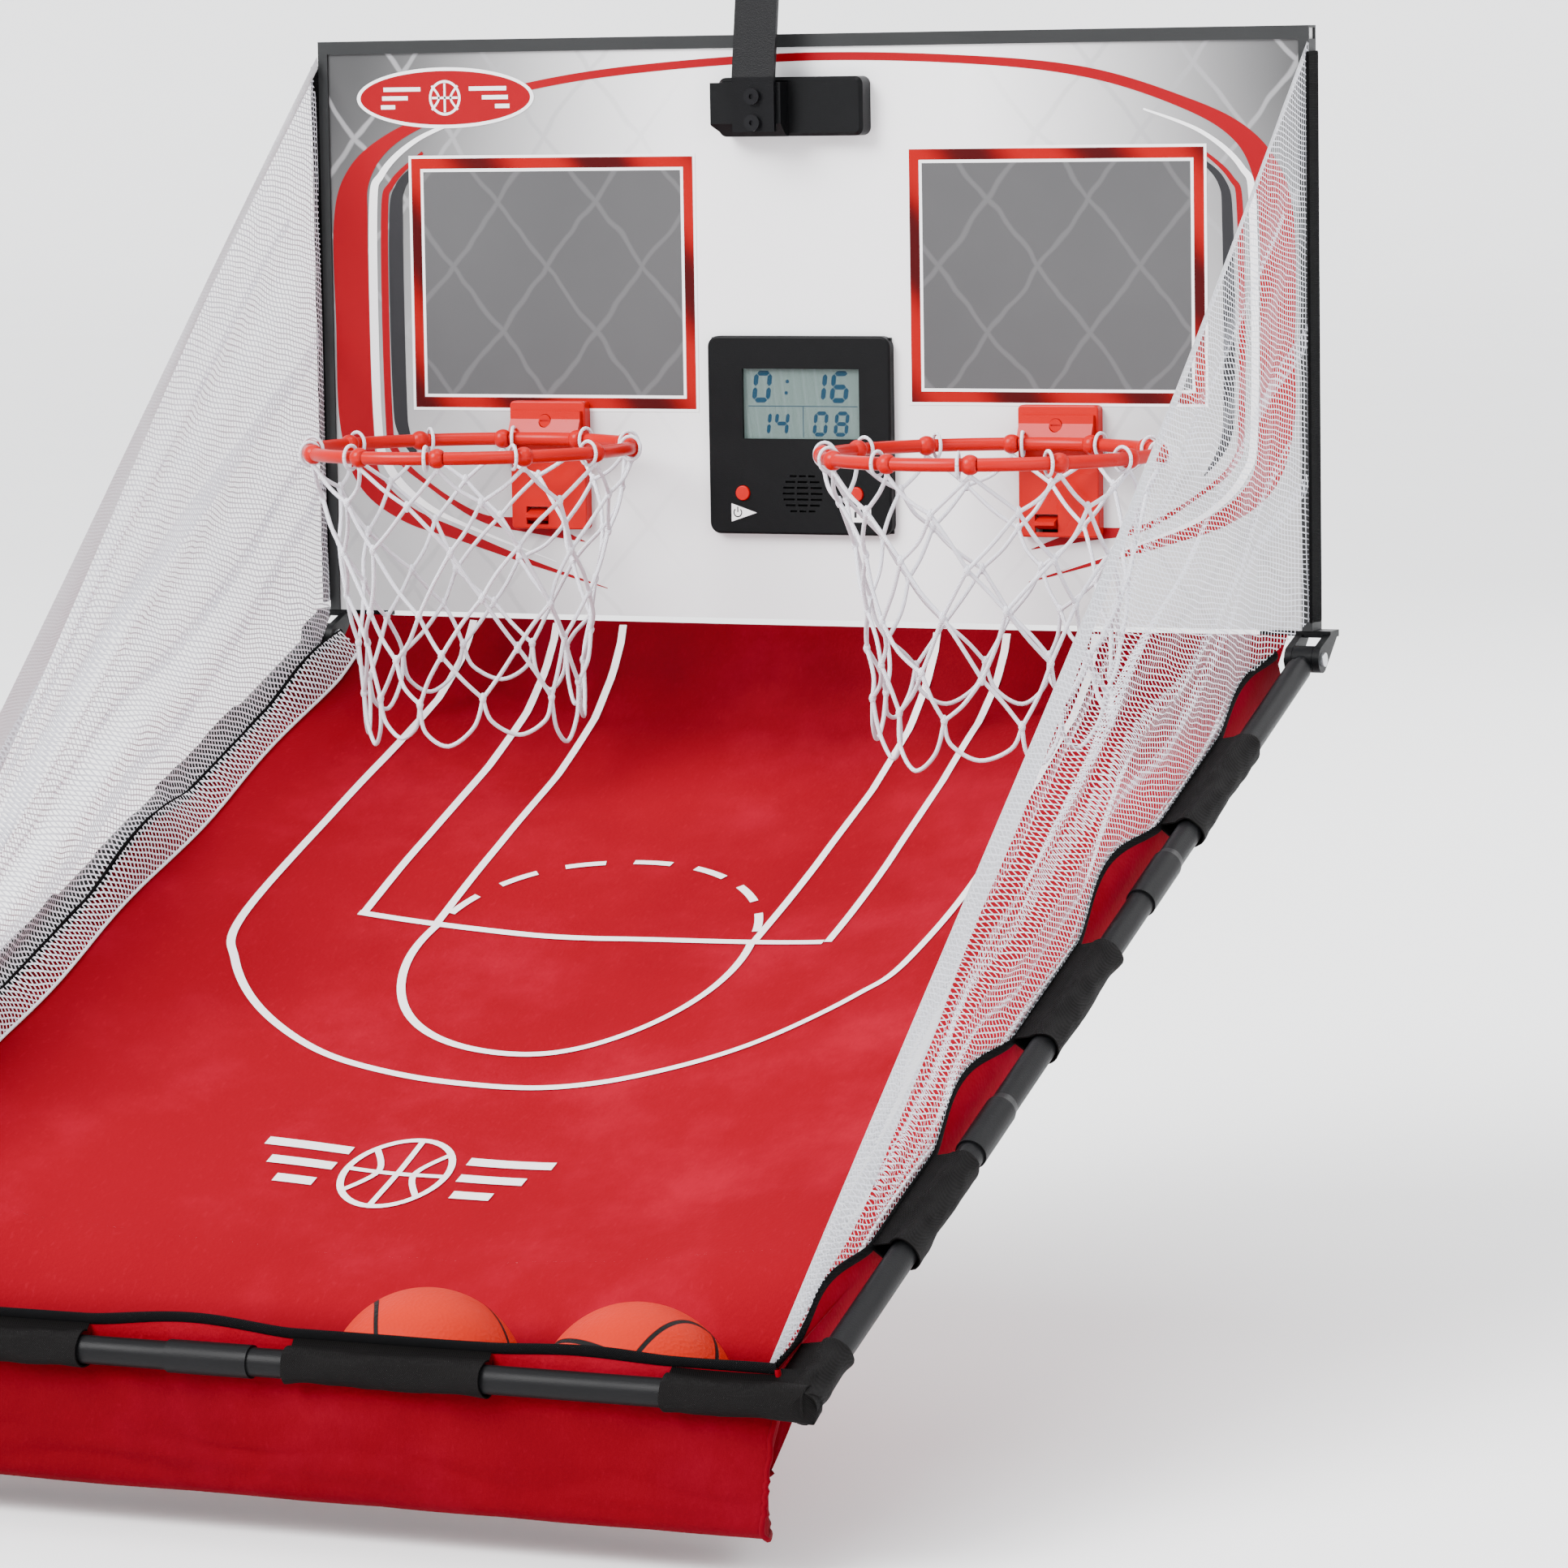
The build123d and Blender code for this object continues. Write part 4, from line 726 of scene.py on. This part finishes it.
def court_lines():
    """White court markings, printed on the cloth."""
    shape = Shape()

    def place(x, down):
        return court(x * MM, down * MM) + RAMP_UP * 0.0006

    mid = -18

    def straight(a, b, width=5.0, steps=40):
        stroke(shape, [(a[0] + (b[0] - a[0]) * t / steps, a[1] + (b[1] - a[1]) * t / steps, width)
                       for t in range(steps + 1)], place)

    straight((mid - 152, 295), (mid + 146, 295))
    for side in (-1, 1):
        straight((mid + side * 149, 295), (mid + side * 152, -15))
        straight((mid + side * 102, 295), (mid + side * 106, -15))
    stroke(shape, even(ellipse(mid, 318, 103, 110, 68, -12, 204), 5.0), place)
    for k in range(7):
        stroke(shape, even(ellipse(mid, 300, 100, 95, 8, 180 + 11 + k * 24, 14), 5.0), place)
    side_line = [(mid - 210, -15), (mid - 215, 120), (mid - 217, 240)]
    bow = ellipse(mid, 300, 217, 164, 60, 180, -180)
    other_side = [(2 * mid - a, b) for a, b in side_line[::-1]]
    stroke(shape, flow(even(side_line + bow[4:-4:4] + other_side, 5.0), 8), place)
    ball = (mid - 4, 562)
    stroke(shape, even(ellipse(*ball, 30, 36, 48), 4.0), place, closed=True)

    def seam(points):
        stroke(shape, flow([(ball[0] + a, ball[1] + b, 3.6) for a, b in points], 8), place)

    seam([(-30, 0), (0, 1), (30, 0)])
    seam([(0, -36), (1, 0), (0, 36)])
    for s in (-1, 1):
        seam([(s * 23, -24), (s * 11, 0), (s * 23, 24)])
        for k, half in enumerate((26, 20, 12)):
            x = ball[0] + s * (62 - 4 * k)
            straight((x - half, ball[1] - 18 + 18 * k), (x + half, ball[1] - 18 + 18 * k), 8.0, 10)
    return shape.make("court_markings", LINE_WHITE, "court_cloth")


POCKET_REAR_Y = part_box("ball_pocket")[0][1] + 0.100
POCKET_REAR_HALF = 0.262
POCKET_FRONT_HALF = 0.304


REAR_FOLD = 0.009
FRONT_FOLD = 0.010


def bezier(a, b, c, d, t):
    u = 1 - t
    shares = (u ** 3, 3 * u * u * t, 3 * u * t * t, t ** 3)
    return tuple(sum(share * v for share, v in zip(shares, values)) for values in zip(a, b, c, d))


def front_rise(x):
    """How far the front edge stands above its own line between the sleeves."""
    total = 0.0
    for start, end, most in ((-0.256, -0.189, 0.5), (-0.077, 0.043, 1.0), (0.156, 0.256, 0.45)):
        if start < x < end:
            total += most * math.sin(math.pi * (x - start) / (end - start)) ** 1.5
    return total


def pocket_line(x):
    """Points (half width, y, z) from the court's end, under the balls and up behind the bar."""
    start = court(x, COURT_END)
    ahead = 0.050
    rear_top = (start.y, start.z)
    leave = (start.y - ahead * math.cos(RAMP_ANGLE), start.z - ahead * math.sin(RAMP_ANGLE))
    arrive = (POCKET_REAR_Y + 0.022, POCKET_LOW + 0.040)
    rear_low = (POCKET_REAR_Y, POCKET_LOW + REAR_FOLD)
    line = []
    for i in range(22):
        y, z = bezier(rear_top, leave, arrive, rear_low, i / 22)
        share = min(1.0, (start.z - z) / (start.z - POCKET_LOW))
        line.append((COURT_HALF + (POCKET_REAR_HALF - COURT_HALF) * share ** 0.8, y, z))
    for i in range(6):
        turn = math.radians(18 * i)
        line.append((POCKET_REAR_HALF + 0.001 * i, POCKET_REAR_Y - REAR_FOLD * math.sin(turn),
                     POCKET_LOW + REAR_FOLD * (1 - math.sin(turn))))
    front_y = BAR_Y + 0.0052
    back = POCKET_REAR_Y - REAR_FOLD
    floor_half = POCKET_REAR_HALF + 0.005
    for i in range(1, 13):
        t = i / 12
        y = back + (front_y + FRONT_FOLD - back) * t
        line.append((floor_half + (POCKET_FRONT_HALF - floor_half) * t, y, POCKET_LOW))
    for i in range(1, 6):
        turn = math.radians(18 * i)
        line.append((POCKET_FRONT_HALF, front_y + FRONT_FOLD * (1 - math.sin(turn)),
                     POCKET_LOW + FRONT_FOLD * (1 - math.cos(turn))))
    lip = on_ramp(0, RAMP_LENGTH - 0.0115, 0.0115)
    wall = ((14, front_y - 0.001, BAR_Z - 0.040), (5, BAR_Y + 0.0056, BAR_Z - 0.016),
            (4, BAR_Y + 0.0098, BAR_Z - 0.002), (5, lip.y, lip.z))
    below = (front_y, POCKET_LOW + FRONT_FOLD)
    for steps, y, z in wall:
        for k in range(1, steps + 1):
            t = k / steps
            here = (below[0] + (y - below[0]) * t, below[1] + (z - below[1]) * t)
            share = (here[1] - POCKET_LOW) / (lip.z - POCKET_LOW)
            line.append((POCKET_FRONT_HALF + (COURT_HALF - POCKET_FRONT_HALF) * share, *here))
        below = (y, z)
    return line


def pocket_rows(widths):
    """Rows of the pocket's cloth, from the court's end to the front edge."""
    lines = [pocket_line(x) for x in widths]
    count = len(lines[0])
    rows = []
    for k in range(count):
        along = k / (count - 1)
        front = smooth(0.58, 0.7, along)
        ease = smooth(0.0, 0.12, along) * smooth(1.0, 0.9, along)
        row = []
        for x, line in zip(widths, lines):
            half, y, z = line[k]
            loose = ease * smooth(1.0, 0.93, abs(x) / COURT_HALF)
            folds = abs(wave(x, along, 5.0, 0.11) * 0.0034 + math.sin(x * 46 + along * 9) * 0.0012)
            y -= folds * 0.9 * loose * front
            z -= folds * 0.25 * loose * (1 - front)
            z += front_rise(x) * 0.0045 * smooth(0.9, 1.0, along)
            row.append(Vector((x * half / COURT_HALF, y, z)))
        rows.append(row)
    return rows


def pocket_piece():
    """The pocket with its end gussets, its seams, its length along the cloth and its front edge."""
    shape = Shape()
    columns = 120
    widths = [-COURT_HALF + 2 * COURT_HALF * i / columns for i in range(columns + 1)]
    rows = pocket_rows(widths)
    count = len(rows)
    shape.grid(rows)
    seams = Shape()
    for column, side in ((0, -1), (columns, 1)):
        edge = [rows[k][column] for k in range(count)]
        panel = []
        for k in range(count):
            t = k / (count - 1)
            top = edge[0].lerp(edge[-1], t)
            strip = []
            for j in range(9):
                point = edge[k].lerp(top, j / 8)
                inside = math.sin(math.pi * j / 8) * math.sin(math.pi * t)
                point.x -= side * (0.012 + 0.006 * wave(t, j * 0.1, side, 0.3)) * inside
                strip.append(point)
            panel.append(strip)
        shape.grid(panel)
        out = Vector((side, 0, 0))
        piping = [p + out * (0.0004 + 0.0006 * math.sin(k * 1.9)) for k, p in enumerate(edge)]
        tube_along(seams, piping[int(count * 0.3):], 0.0016, 8)
    piece = shape.make("pocket_cloth", COURT_CLOTH, "court_cloth", "ramp")
    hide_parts("ball_pocket")
    seam = seams.make("pocket_corner_seams", COURT_CLOTH, "court_cloth", "ramp")
    return piece, seam, line_length([row[columns // 2] for row in rows]), rows[-1]


# ---- side nets
# each stretch of side edge between two sleeves: its start, its end and how far it rises
GAPS = ((0.0, 0.114, 0.6), (0.219, 0.360, 1.0), (0.463, 0.586, 0.9), (0.675, CORNER_START + 0.01, 0.7))


def edge_rise(down):
    """0 where a sleeve holds the side binding, up to 1 midway between sleeves."""
    for start, end, most in GAPS:
        if start < down < end:
            return most * math.sin(math.pi * (down - start) / (end - start)) ** 1.4
    return 0.0


def side_edge(side, down):
    """The line where side net, court edge and sleeves are sewn together."""
    rise = edge_rise(down)
    inward = 0.0165 + 0.0055 * rise
    level = 0.004 + 0.013 * rise
    near_front = smooth(RAMP_LENGTH - 0.07, RAMP_LENGTH - 0.012, down)
    inward += 0.004 * near_front
    return on_ramp(side * (TUBE_X - inward), down, level + 0.004 * near_front)


def net_corner(side):
    return on_ramp(side * (TUBE_X - 0.0195), RAMP_LENGTH - 0.012, 0.0135)


def top_edge(side, share):
    """The net's upper edge, from the top of the board to the front corner."""
    back = Vector((side * (HALF + 0.0004), FACE - 0.003, TOP - 0.010))
    point = back.lerp(net_corner(side), share)
    point.z -= 0.010 * math.sin(math.pi * share) ** 1.2
    point.x += side * 0.004 * math.sin(math.pi * share * 1.5) * (1 - share)
    return point


def band_width(share):
    return 0.007 + 0.028 * smooth(0.12, 0.72, share) - 0.026 * smooth(0.86, 1.0, share)


def net_low(side, share):
    """The net's lower edge, from the bottom of the board along the sleeves."""
    down = 0.004 + (RAMP_LENGTH - 0.016) * share
    point = side_edge(side, down)
    if share < 0.05:
        at_board = Vector((side * (HALF + 0.0004), FACE - 0.003, BOTTOM + 0.008))
        point = at_board.lerp(point, share / 0.05)
    return point


def net_point(side, share, up, lift=0.0):
    """A point of a side net: share runs from the board to the front, up from the ramp to the band."""
    low, high = net_low(side, share), top_edge(side, share)
    point = low.lerp(high, up)
    loose = math.sin(math.pi * min(1.0, share * 1.02)) ** 0.8 if share < 0.5 else (1 - share) * 2
    loose = max(0.0, loose) * math.sin(math.pi * up) ** 0.7
    pleat = math.sin(2 * math.pi * (3.2 * up + 0.35 * share + 0.1 * side))
    pleat += 0.7 * math.sin(2 * math.pi * (7.1 * up - 0.6 * share) + 1.0)
    drift = wave(share, up, side * 3.0, 0.22)
    bulge = 0.006 * smooth(0.0, 0.08, share) * (1 - smooth(0.3, 0.8, share)) * math.sin(math.pi * up)
    point.x += side * (loose * (0.0042 * pleat + 0.005 * drift) + bulge + lift)
    return point


def fan(piece):
    """Bakes the piece's placement into its mesh."""
    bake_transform(piece)


# fold strips sewn along the mesh: where each starts, its height as a share of the net's, its width
NET_FOLDS = ((0.0, 0.20, 0.035), (0.03, 0.37, 0.028), (0.0, 0.55, 0.04), (0.05, 0.76, 0.022))
SKIRT = 0.035


def side_net_pieces(name, side):
    """A side net with its band and hem, then the length, height and area of its mesh."""
    net = Shape()
    shares = [(i / 130) ** 0.9 for i in range(131)]
    net.grid([[net_point(side, s, j / 90) for j in range(91)] for s in shares])
    for start, low, wide in NET_FOLDS:
        strip = []
        for i in range(61):
            s = start + (0.84 - start) * i / 60
            at = low + 0.05 * math.sin(s * 7 + low * 9)
            half = wide * (1 + 0.8 * s) / 2
            arch = [0.0016 * math.sin(math.pi * (j + 1) / 8) for j in range(7)]
            strip.append([net_point(side, s, at + half * (j / 3 - 1), lift) for j, lift in enumerate(arch)])
        net.grid(strip)
    hem_line, skirt = [], []
    inside = Vector((-side, 0, 0))
    for i in range(121):
        down = 0.012 + (RAMP_LENGTH - 0.052) * i / 120
        top = side_edge(side, down) + inside * 0.0030 + Vector((0, 0, 0.0035))
        x = TUBE_X - 0.0300 - 0.0015 * math.sin(down * 33)
        low = court(side * x, down) + Vector((0, 0, 0.0016))
        hem_line.append(low)
        belly = inside * 0.0015
        skirt.append([top, top.lerp(low, 0.35) + belly, top.lerp(low, 0.7) + belly, low])
    net.grid(skirt)
    piece = net.make(f"{name}_net_mesh", SIDE_MESH[name], "side_mesh")
    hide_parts(f"{name}_side_net")
    band = Shape()
    strip = []
    for i in range(101):
        s = i / 100
        top = top_edge(side, s)
        wide = band_width(s)
        down = (net_low(side, s) - top).normalized() * wide if s < 0.995 else Vector((0, 0, -wide * 0.5))
        low = top + down
        curl = inside * (0.0012 + 0.001 * math.sin(s * 31))
        strip.append([top + inside * 0.0006 + Vector((0, 0, 0.0008)), top.lerp(low, 0.5) + curl,
                      low + inside * 0.0008])
    band.grid(strip)
    webbing = band.make(f"{name}_net_band", WEBBING, "white_webbing")
    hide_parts(f"{name}_top_band")
    hem = Shape()
    tube_along(hem, hem_line, 0.0011, 6)
    hem_piece = hem.make(f"{name}_net_hem", WEBBING, "side_mesh", "ramp")
    long = line_length([top_edge(side, s / 40) for s in range(41)])
    tall = (top_edge(side, 0) - net_low(side, 0)).length
    return piece, webbing, hem_piece, long, tall + SKIRT, mesh_area(piece)


def edge_pieces(name, side):
    """Black binding along the side, and the red cloth seen between it and the tube."""
    tape, flap = Shape(), Shape()
    downs = [0.004 + (RAMP_LENGTH - 0.018) * i / 220 for i in range(221)]
    line = [side_edge(side, down) for down in downs]
    out = Vector((side, 0, 0))
    rows = []
    for i, p in enumerate(line):
        thick = 0.0030 + 0.0007 * wave(i * 0.05, side, 0.0, 0.3)
        rows.append(oval(p, RAMP_UP, out, thick, 0.0013, 10))
    tape.grid(rows, closed=True)
    binding = tape.make(f"{name}_edge_binding", BINDING, "sleeve_cloth", "ramp")
    strip = []
    for down, p in zip(downs, line):
        low = on_ramp(side * (COURT_HALF + 0.0005), down, COURT_LEVEL - 0.001)
        belly = Vector((side * 0.0022 * edge_rise(down), 0, 0))
        strip.append([low, low.lerp(p, 0.35) + belly, low.lerp(p, 0.7) + belly, p])
    flap.grid(strip)
    cloth = flap.make(f"{name}_court_edge", COURT_CLOTH, "court_cloth", "ramp")
    return binding, cloth


# ---- sleeves on the tubes
def sleeve(shape, base, ahead, inward, length, tip, seed):
    """A cloth sleeve whose two edges meet at a sewn tip on the court's side."""
    rows = []
    up = RAMP_UP
    steps = max(8, int(length / 0.004))
    for i in range(steps + 1):
        s = i / steps
        centre = base + ahead * (length * s)
        end = smooth(0.12, 0.0, s) + smooth(0.88, 1.0, s)
        row = [centre + inward * tip[0] + up * (tip[1] + 0.0006)]
        for k in range(21):
            turn = math.radians(48 + (312 - 48) * k / 20)
            r = 0.0092 + 0.0007 * wave(s * length, turn * 0.02, seed, 0.012) + 0.0006 * end
            r += 0.0005 * math.sin(turn * 3 + s * 9 + seed)
            row.append(centre + inward * (r * math.cos(turn)) + up * (r * math.sin(turn)))
        row.append(centre + inward * tip[0] + up * (tip[1] - 0.0006))
        rows.append(row)
    shape.grid(rows, closed=True)
    for row in (rows[0], rows[-1]):
        centre = sum((Vector(p) for p in row), Vector()) / len(row)
        fold = [Vector(p).lerp(centre, 0.10) for p in row]
        shape.grid([row, fold], closed=True)


def sleeve_pieces(front_edge):
    """The sleeves on side tubes, corners and front bar, and the binding of the pocket's front edge."""
    shape = Shape()
    for _, side in SIDES:
        out = Vector((side, 0, 0))
        spans = SIDE_SLEEVES + ((CORNER_START, RAMP_LENGTH + 0.004),)
        for k, (start, end) in enumerate(spans):
            base = on_ramp(side * TUBE_X, start, 0)
            sleeve(shape, base, RAMP_DOWN, -out, end - start, (0.0175, 0.0045), 3.0 * k + side)
        corner = on_ramp(side * (TUBE_X + 0.004), RAMP_LENGTH, 0)
        sleeve(shape, corner, -out, -RAMP_DOWN, CORNER_FRONT + 0.004, (0.0150, 0.0090), 20.0 + side)
        point = on_ramp(side * (TUBE_X + 0.0045), RAMP_LENGTH + 0.0045, 0)
        away, across = (out + RAMP_DOWN).normalized(), (out - RAMP_DOWN).normalized()
        rows = []
        for i in range(7):
            r = 0.0085 * (1 - i / 6.5)
            centre = point + away * (0.0009 * i) - RAMP_UP * 0.0010 * i
            rows.append(oval(centre, RAMP_UP, across, r, r, 12))
        shape.grid(rows, closed=True)
    for k, (start, end) in enumerate(FRONT_SLEEVES):
        base = on_ramp(start, RAMP_LENGTH, 0)
        sleeve(shape, base, Vector((1, 0, 0)), -RAMP_DOWN, end - start, (0.0130, 0.0105), 40.0 + k)
    piece = shape.make("tube_sleeves", SLEEVE, "sleeve_cloth", "ramp")
    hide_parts("frame_sleeves")
    tape = Shape()
    rows = []
    for p in front_edge:
        thick = 0.0034 + 0.0006 * wave(p.x, 0.0, 9.0, 0.05)
        rows.append(oval(p, RAMP_UP, RAMP_DOWN, thick, 0.0014, 10))
    tape.grid(rows, closed=True)
    tape.make("front_edge_binding", BINDING, "sleeve_cloth", "ramp")


# ---- hoop nets
# each row of knots: its drop below the ring and its radius
NET_ROWS = (
    (0.000, 0.1000),
    (0.026, 0.0915),
    (0.054, 0.0840),
    (0.083, 0.0775),
    (0.112, 0.0730),
    (0.138, 0.0705),
)
HOOKS = 12
ROPE = 0.0013
KNOT = ((-1.0, 0.35), (-0.55, 0.9), (0.0, 1.15), (0.55, 0.9), (1.0, 0.35))


def knot_rows(draw, centre):
    """The net's knots, row by row: even at the ring and looser further down."""
    rows = []
    for row, (drop, radius) in enumerate(NET_ROWS):
        ring = []
        for k in range(HOOKS):
            turn = 2 * math.pi * (k + 0.5 + 0.5 * (row % 2)) / HOOKS
            slack = min(row, 3) / 3
            turn += math.radians(draw.uniform(-5.5, 5.5)) * slack
            r = radius + draw.uniform(-0.0035, 0.003) * slack
            z = (drop + draw.uniform(-0.0045, 0.0045) * slack) * (1 - 0.10 * math.cos(turn))
            under_ring = 0.0065 if row == 0 else 0
            ring.append(centre + Vector((r * math.sin(turn), r * math.cos(turn), -z - under_ring)))
        rows.append(ring)
    return rows


def hoop_net_piece(name, side):
    """Knotted cord net: crossing cords, a knot where they meet, and loops at the bottom."""
    draw = random.Random(40 + side)
    centre = Vector((side * RING_X, RING_Y, RING_Z))
    knots = knot_rows(draw, centre)
    shape = Shape()

    def clear(p):
        """The point, or the one above it that lies on the court."""
        return Vector((p[0], p[1], max(p[2], court_top(p[0], p[1]) + 0.0035)))

    def cord(points, steps):
        tube_along(shape, [clear(p) for p in flow(points, steps)], ROPE, 7)

    for row in range(len(knots) - 1):
        for k in range(HOOKS):
            low = ((k - 1) % HOOKS, k) if row % 2 == 0 else (k, (k + 1) % HOOKS)
            for target in low:
                a, b = knots[row][k], knots[row + 1][target]
                bow = Vector((draw.uniform(-1, 1), draw.uniform(-1, 1), draw.uniform(-1.2, 0.2))) * 0.0022
                cord([a, (a + b) / 2 + bow, b], 5)
    for k in range(HOOKS):
        a, b = knots[-1][k], knots[-1][(k + 1) % HOOKS]
        sway = Vector((draw.uniform(-1, 1), draw.uniform(-1, 1), 0)) * 0.004
        deep = 0.026 + draw.uniform(-0.005, 0.006)
        pinch = (a + b) / 2
        shoulder = sway * 0.6 + Vector((0, 0, -deep * 0.62))
        cord([a, a.lerp(pinch, 0.22) + shoulder, pinch + sway + Vector((0, 0, -deep)),
              b.lerp(pinch, 0.22) + shoulder, b], 6)
    for row, ring in enumerate(knots):
        size = ROPE * (1.55 if row else 1.2)
        for p in ring:
            line = [clear(p) + Vector((0, 0, size * 1.7 * t)) for t, _ in KNOT]
            tube_along(shape, line, [size * r for _, r in KNOT], 8)
    for k in range(HOOKS):
        turn = 2 * math.pi * (k + 0.5) / HOOKS
        out = Vector((math.sin(turn), math.cos(turn), 0))
        hook = centre + out * NET_ROWS[0][1] + Vector((math.cos(turn), -math.sin(turn), 0)) * 0.0068
        loop = [hook + out * (0.0062 * math.cos(t)) + Vector((0, 0, 0.0072 * math.sin(t)))
                for t in circle(20) + [2 * math.pi]]
        tube_along(shape, loop, ROPE * 0.85, 6)
    piece = shape.make(f"{name}_net_cords", WHITE_CORD, "net_cord", "board")
    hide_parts(f"{name}_hoop_net")
    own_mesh(piece)


# ---- foam and pile
def soft_box(shape, lo, hi, radius, rough, steps=7):
    """A box with soft edges and a slightly uneven skin."""
    centre = Vector([(a + b) / 2 for a, b in zip(lo, hi)])
    half = [(b - a) / 2 for a, b in zip(lo, hi)]
    ease = [0.5 - 0.5 * math.cos(math.pi * i / (2 * steps)) for i in range(2 * steps + 1)]
    radius = min(radius, *[h * 0.9 for h in half])

    def point(u, v, axis, sign):
        values = [0.0, 0.0, 0.0]
        others = [i for i in range(3) if i != axis]
        values[axis] = sign * half[axis]
        values[others[0]] = (2 * u - 1) * half[others[0]]
        values[others[1]] = (2 * v - 1) * half[others[1]]
        core = Vector([max(-h + radius, min(h - radius, c)) for c, h in zip(values, half)])
        away = Vector(values) - core
        if away.length > 1e-9:
            away = away.normalized() * radius
        spot = core + away
        dent = 1 - rough * (1 + noise.noise((spot + centre) * 90)) / 2
        return centre + spot * dent

    for axis in range(3):
        for sign in (-1, 1):
            shape.grid([[point(u, v, axis, sign) for v in ease] for u in ease])


def foam_pieces():
    """The door pads, the hook's liner and the hook-and-loop strips at the board's ends."""
    pads = Shape()
    lo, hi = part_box("door_pads")
    wide, tall = 0.060, 0.036
    for x0 in (lo[0], hi[0] - wide):
        for z0 in (lo[2], hi[2] - tall):
            soft_box(pads, (x0, lo[1], z0), (x0 + wide, hi[1], z0 + tall), 0.0035, 0.02)
    pad = pads.make("foam_door_pads", FOAM, "foam", "board")
    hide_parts("door_pads")
    liner = Shape()
    lo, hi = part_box("hook_liner")
    soft_box(liner, lo, hi, 0.0012, 0.03)
    lining = liner.make("foam_hook_liner", FOAM, "foam", "board")
    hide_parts("hook_liner")
    for name, _ in SIDES:
        strip = Shape()
        lo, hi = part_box(f"{name}_net_strip")
        soft_box(strip, lo, hi, 0.0008, 0.015, 12)
        pile = strip.make(f"{name}_pile_strip", FLUFFY, "hook_and_loop", "board")
        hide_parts(f"{name}_net_strip")


print_layers()
scorer_marks()
court_sheet, court_wide, court_long = court_piece()
markings = court_lines()
pocket_sheet, pocket_seams, pocket_long, front_edge = pocket_piece()
edges = []
for side_name, side_sign in SIDES:
    edges += edge_pieces(side_name, side_sign)
sleeve_pieces(front_edge)
for side_name, side_sign in SIDES:
    mesh_piece, band_piece, hem_piece, net_long, net_tall, net_area = side_net_pieces(side_name, side_sign)
    fan(mesh_piece)
    fan(band_piece)
    min(net_area, net_long * net_tall)
    hoop_net_piece(side_name, side_sign)
foam_pieces()
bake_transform(court_sheet)
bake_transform(markings)


# ---- floor, light and camera
def stage_material():
    g = Graph("studio_floor")
    tone = g.noise(1.5, 2.0)
    g.set(Base_Color=g.mix(tone, (0.93, 0.93, 0.93, 1), (0.96, 0.96, 0.96, 1)), Roughness=0.75)
    g.bump(g.noise(60.0), 0.02)
    return g.material


def backdrop():
    """A pale floor that curves up into a wall far behind."""
    reach, wall_start, bend, wall_height = 60.0, 16.0, 5.0, 40.0
    profile = [(-reach, FLOOR_Z), (wall_start, FLOOR_Z)]
    steps = 16
    for i in range(1, steps + 1):
        turn = math.pi / 2 * i / steps
        profile.append((wall_start + bend * math.sin(turn), FLOOR_Z + bend * (1 - math.cos(turn))))
    profile.append((wall_start + bend, FLOOR_Z + wall_height))
    shape = Shape()
    shape.grid([[(-reach, y, z), (reach, y, z)] for y, z in profile])
    shape.link("studio_floor", stage_material())


backdrop()


def lamp(name, kind, aim, power):
    """A light that shines along aim."""
    data = bpy.data.lights.new(name, kind)
    data.energy = power
    made = add_object(name, data)
    made.rotation_mode = "QUATERNION"
    made.rotation_quaternion = aim.to_track_quat("-Z", "Y")
    return made


MIDDLE = (0, -0.35, -0.42)
sun = lamp("sun", "SUN", -Vector((-0.45, -0.70, 0.65)), 5.0)
sun.data.angle = math.radians(40)
for light_name, place, size, power in (
    ("key", (-2.2, -3.6, 2.6), 2.2, 170),
    ("fill", (3.4, -3.0, 1.2), 3.0, 80),
    ("top", (0.4, -0.6, 3.4), 2.6, 95),
    ("back", (0.5, 3.5, 1.8), 3.0, 80),
):
    light = lamp(light_name, "AREA", Vector(MIDDLE) - Vector(place), power)
    light.location = place
    light.data.shape = "DISK"
    light.data.size = size
world = bpy.data.worlds.new("studio_world")
world.use_nodes = True
background = world.node_tree.nodes["Background"].inputs
background["Color"].default_value = (0.95, 0.96, 1.0, 1)
background["Strength"].default_value = 0.95
bpy.context.scene.world = world

# the camera, fitted to the photo
LENS = 149.07
CAMERA_PLACE = (1.605, -3.6835, -0.1154)
YAW, PITCH, ROLL = math.radians(23.935), math.radians(6.367), math.radians(-0.894)
ahead = Vector((-math.sin(YAW) * math.cos(PITCH), math.cos(YAW) * math.cos(PITCH), -math.sin(PITCH)))
level_right = Vector((math.cos(YAW), math.sin(YAW), 0))
level_up = level_right.cross(ahead)
camera_right = level_right * math.cos(ROLL) + level_up * math.sin(ROLL)
camera_up = level_up * math.cos(ROLL) - level_right * math.sin(ROLL)
camera_data = bpy.data.cameras.new("camera")
camera_data.lens = LENS
camera_data.sensor_width = 36.0
camera = add_object("camera", camera_data)
turn = Matrix((camera_right, camera_up, -ahead)).transposed().to_4x4()
camera.matrix_world = Matrix.Translation(CAMERA_PLACE) @ turn
bpy.context.scene.camera = camera
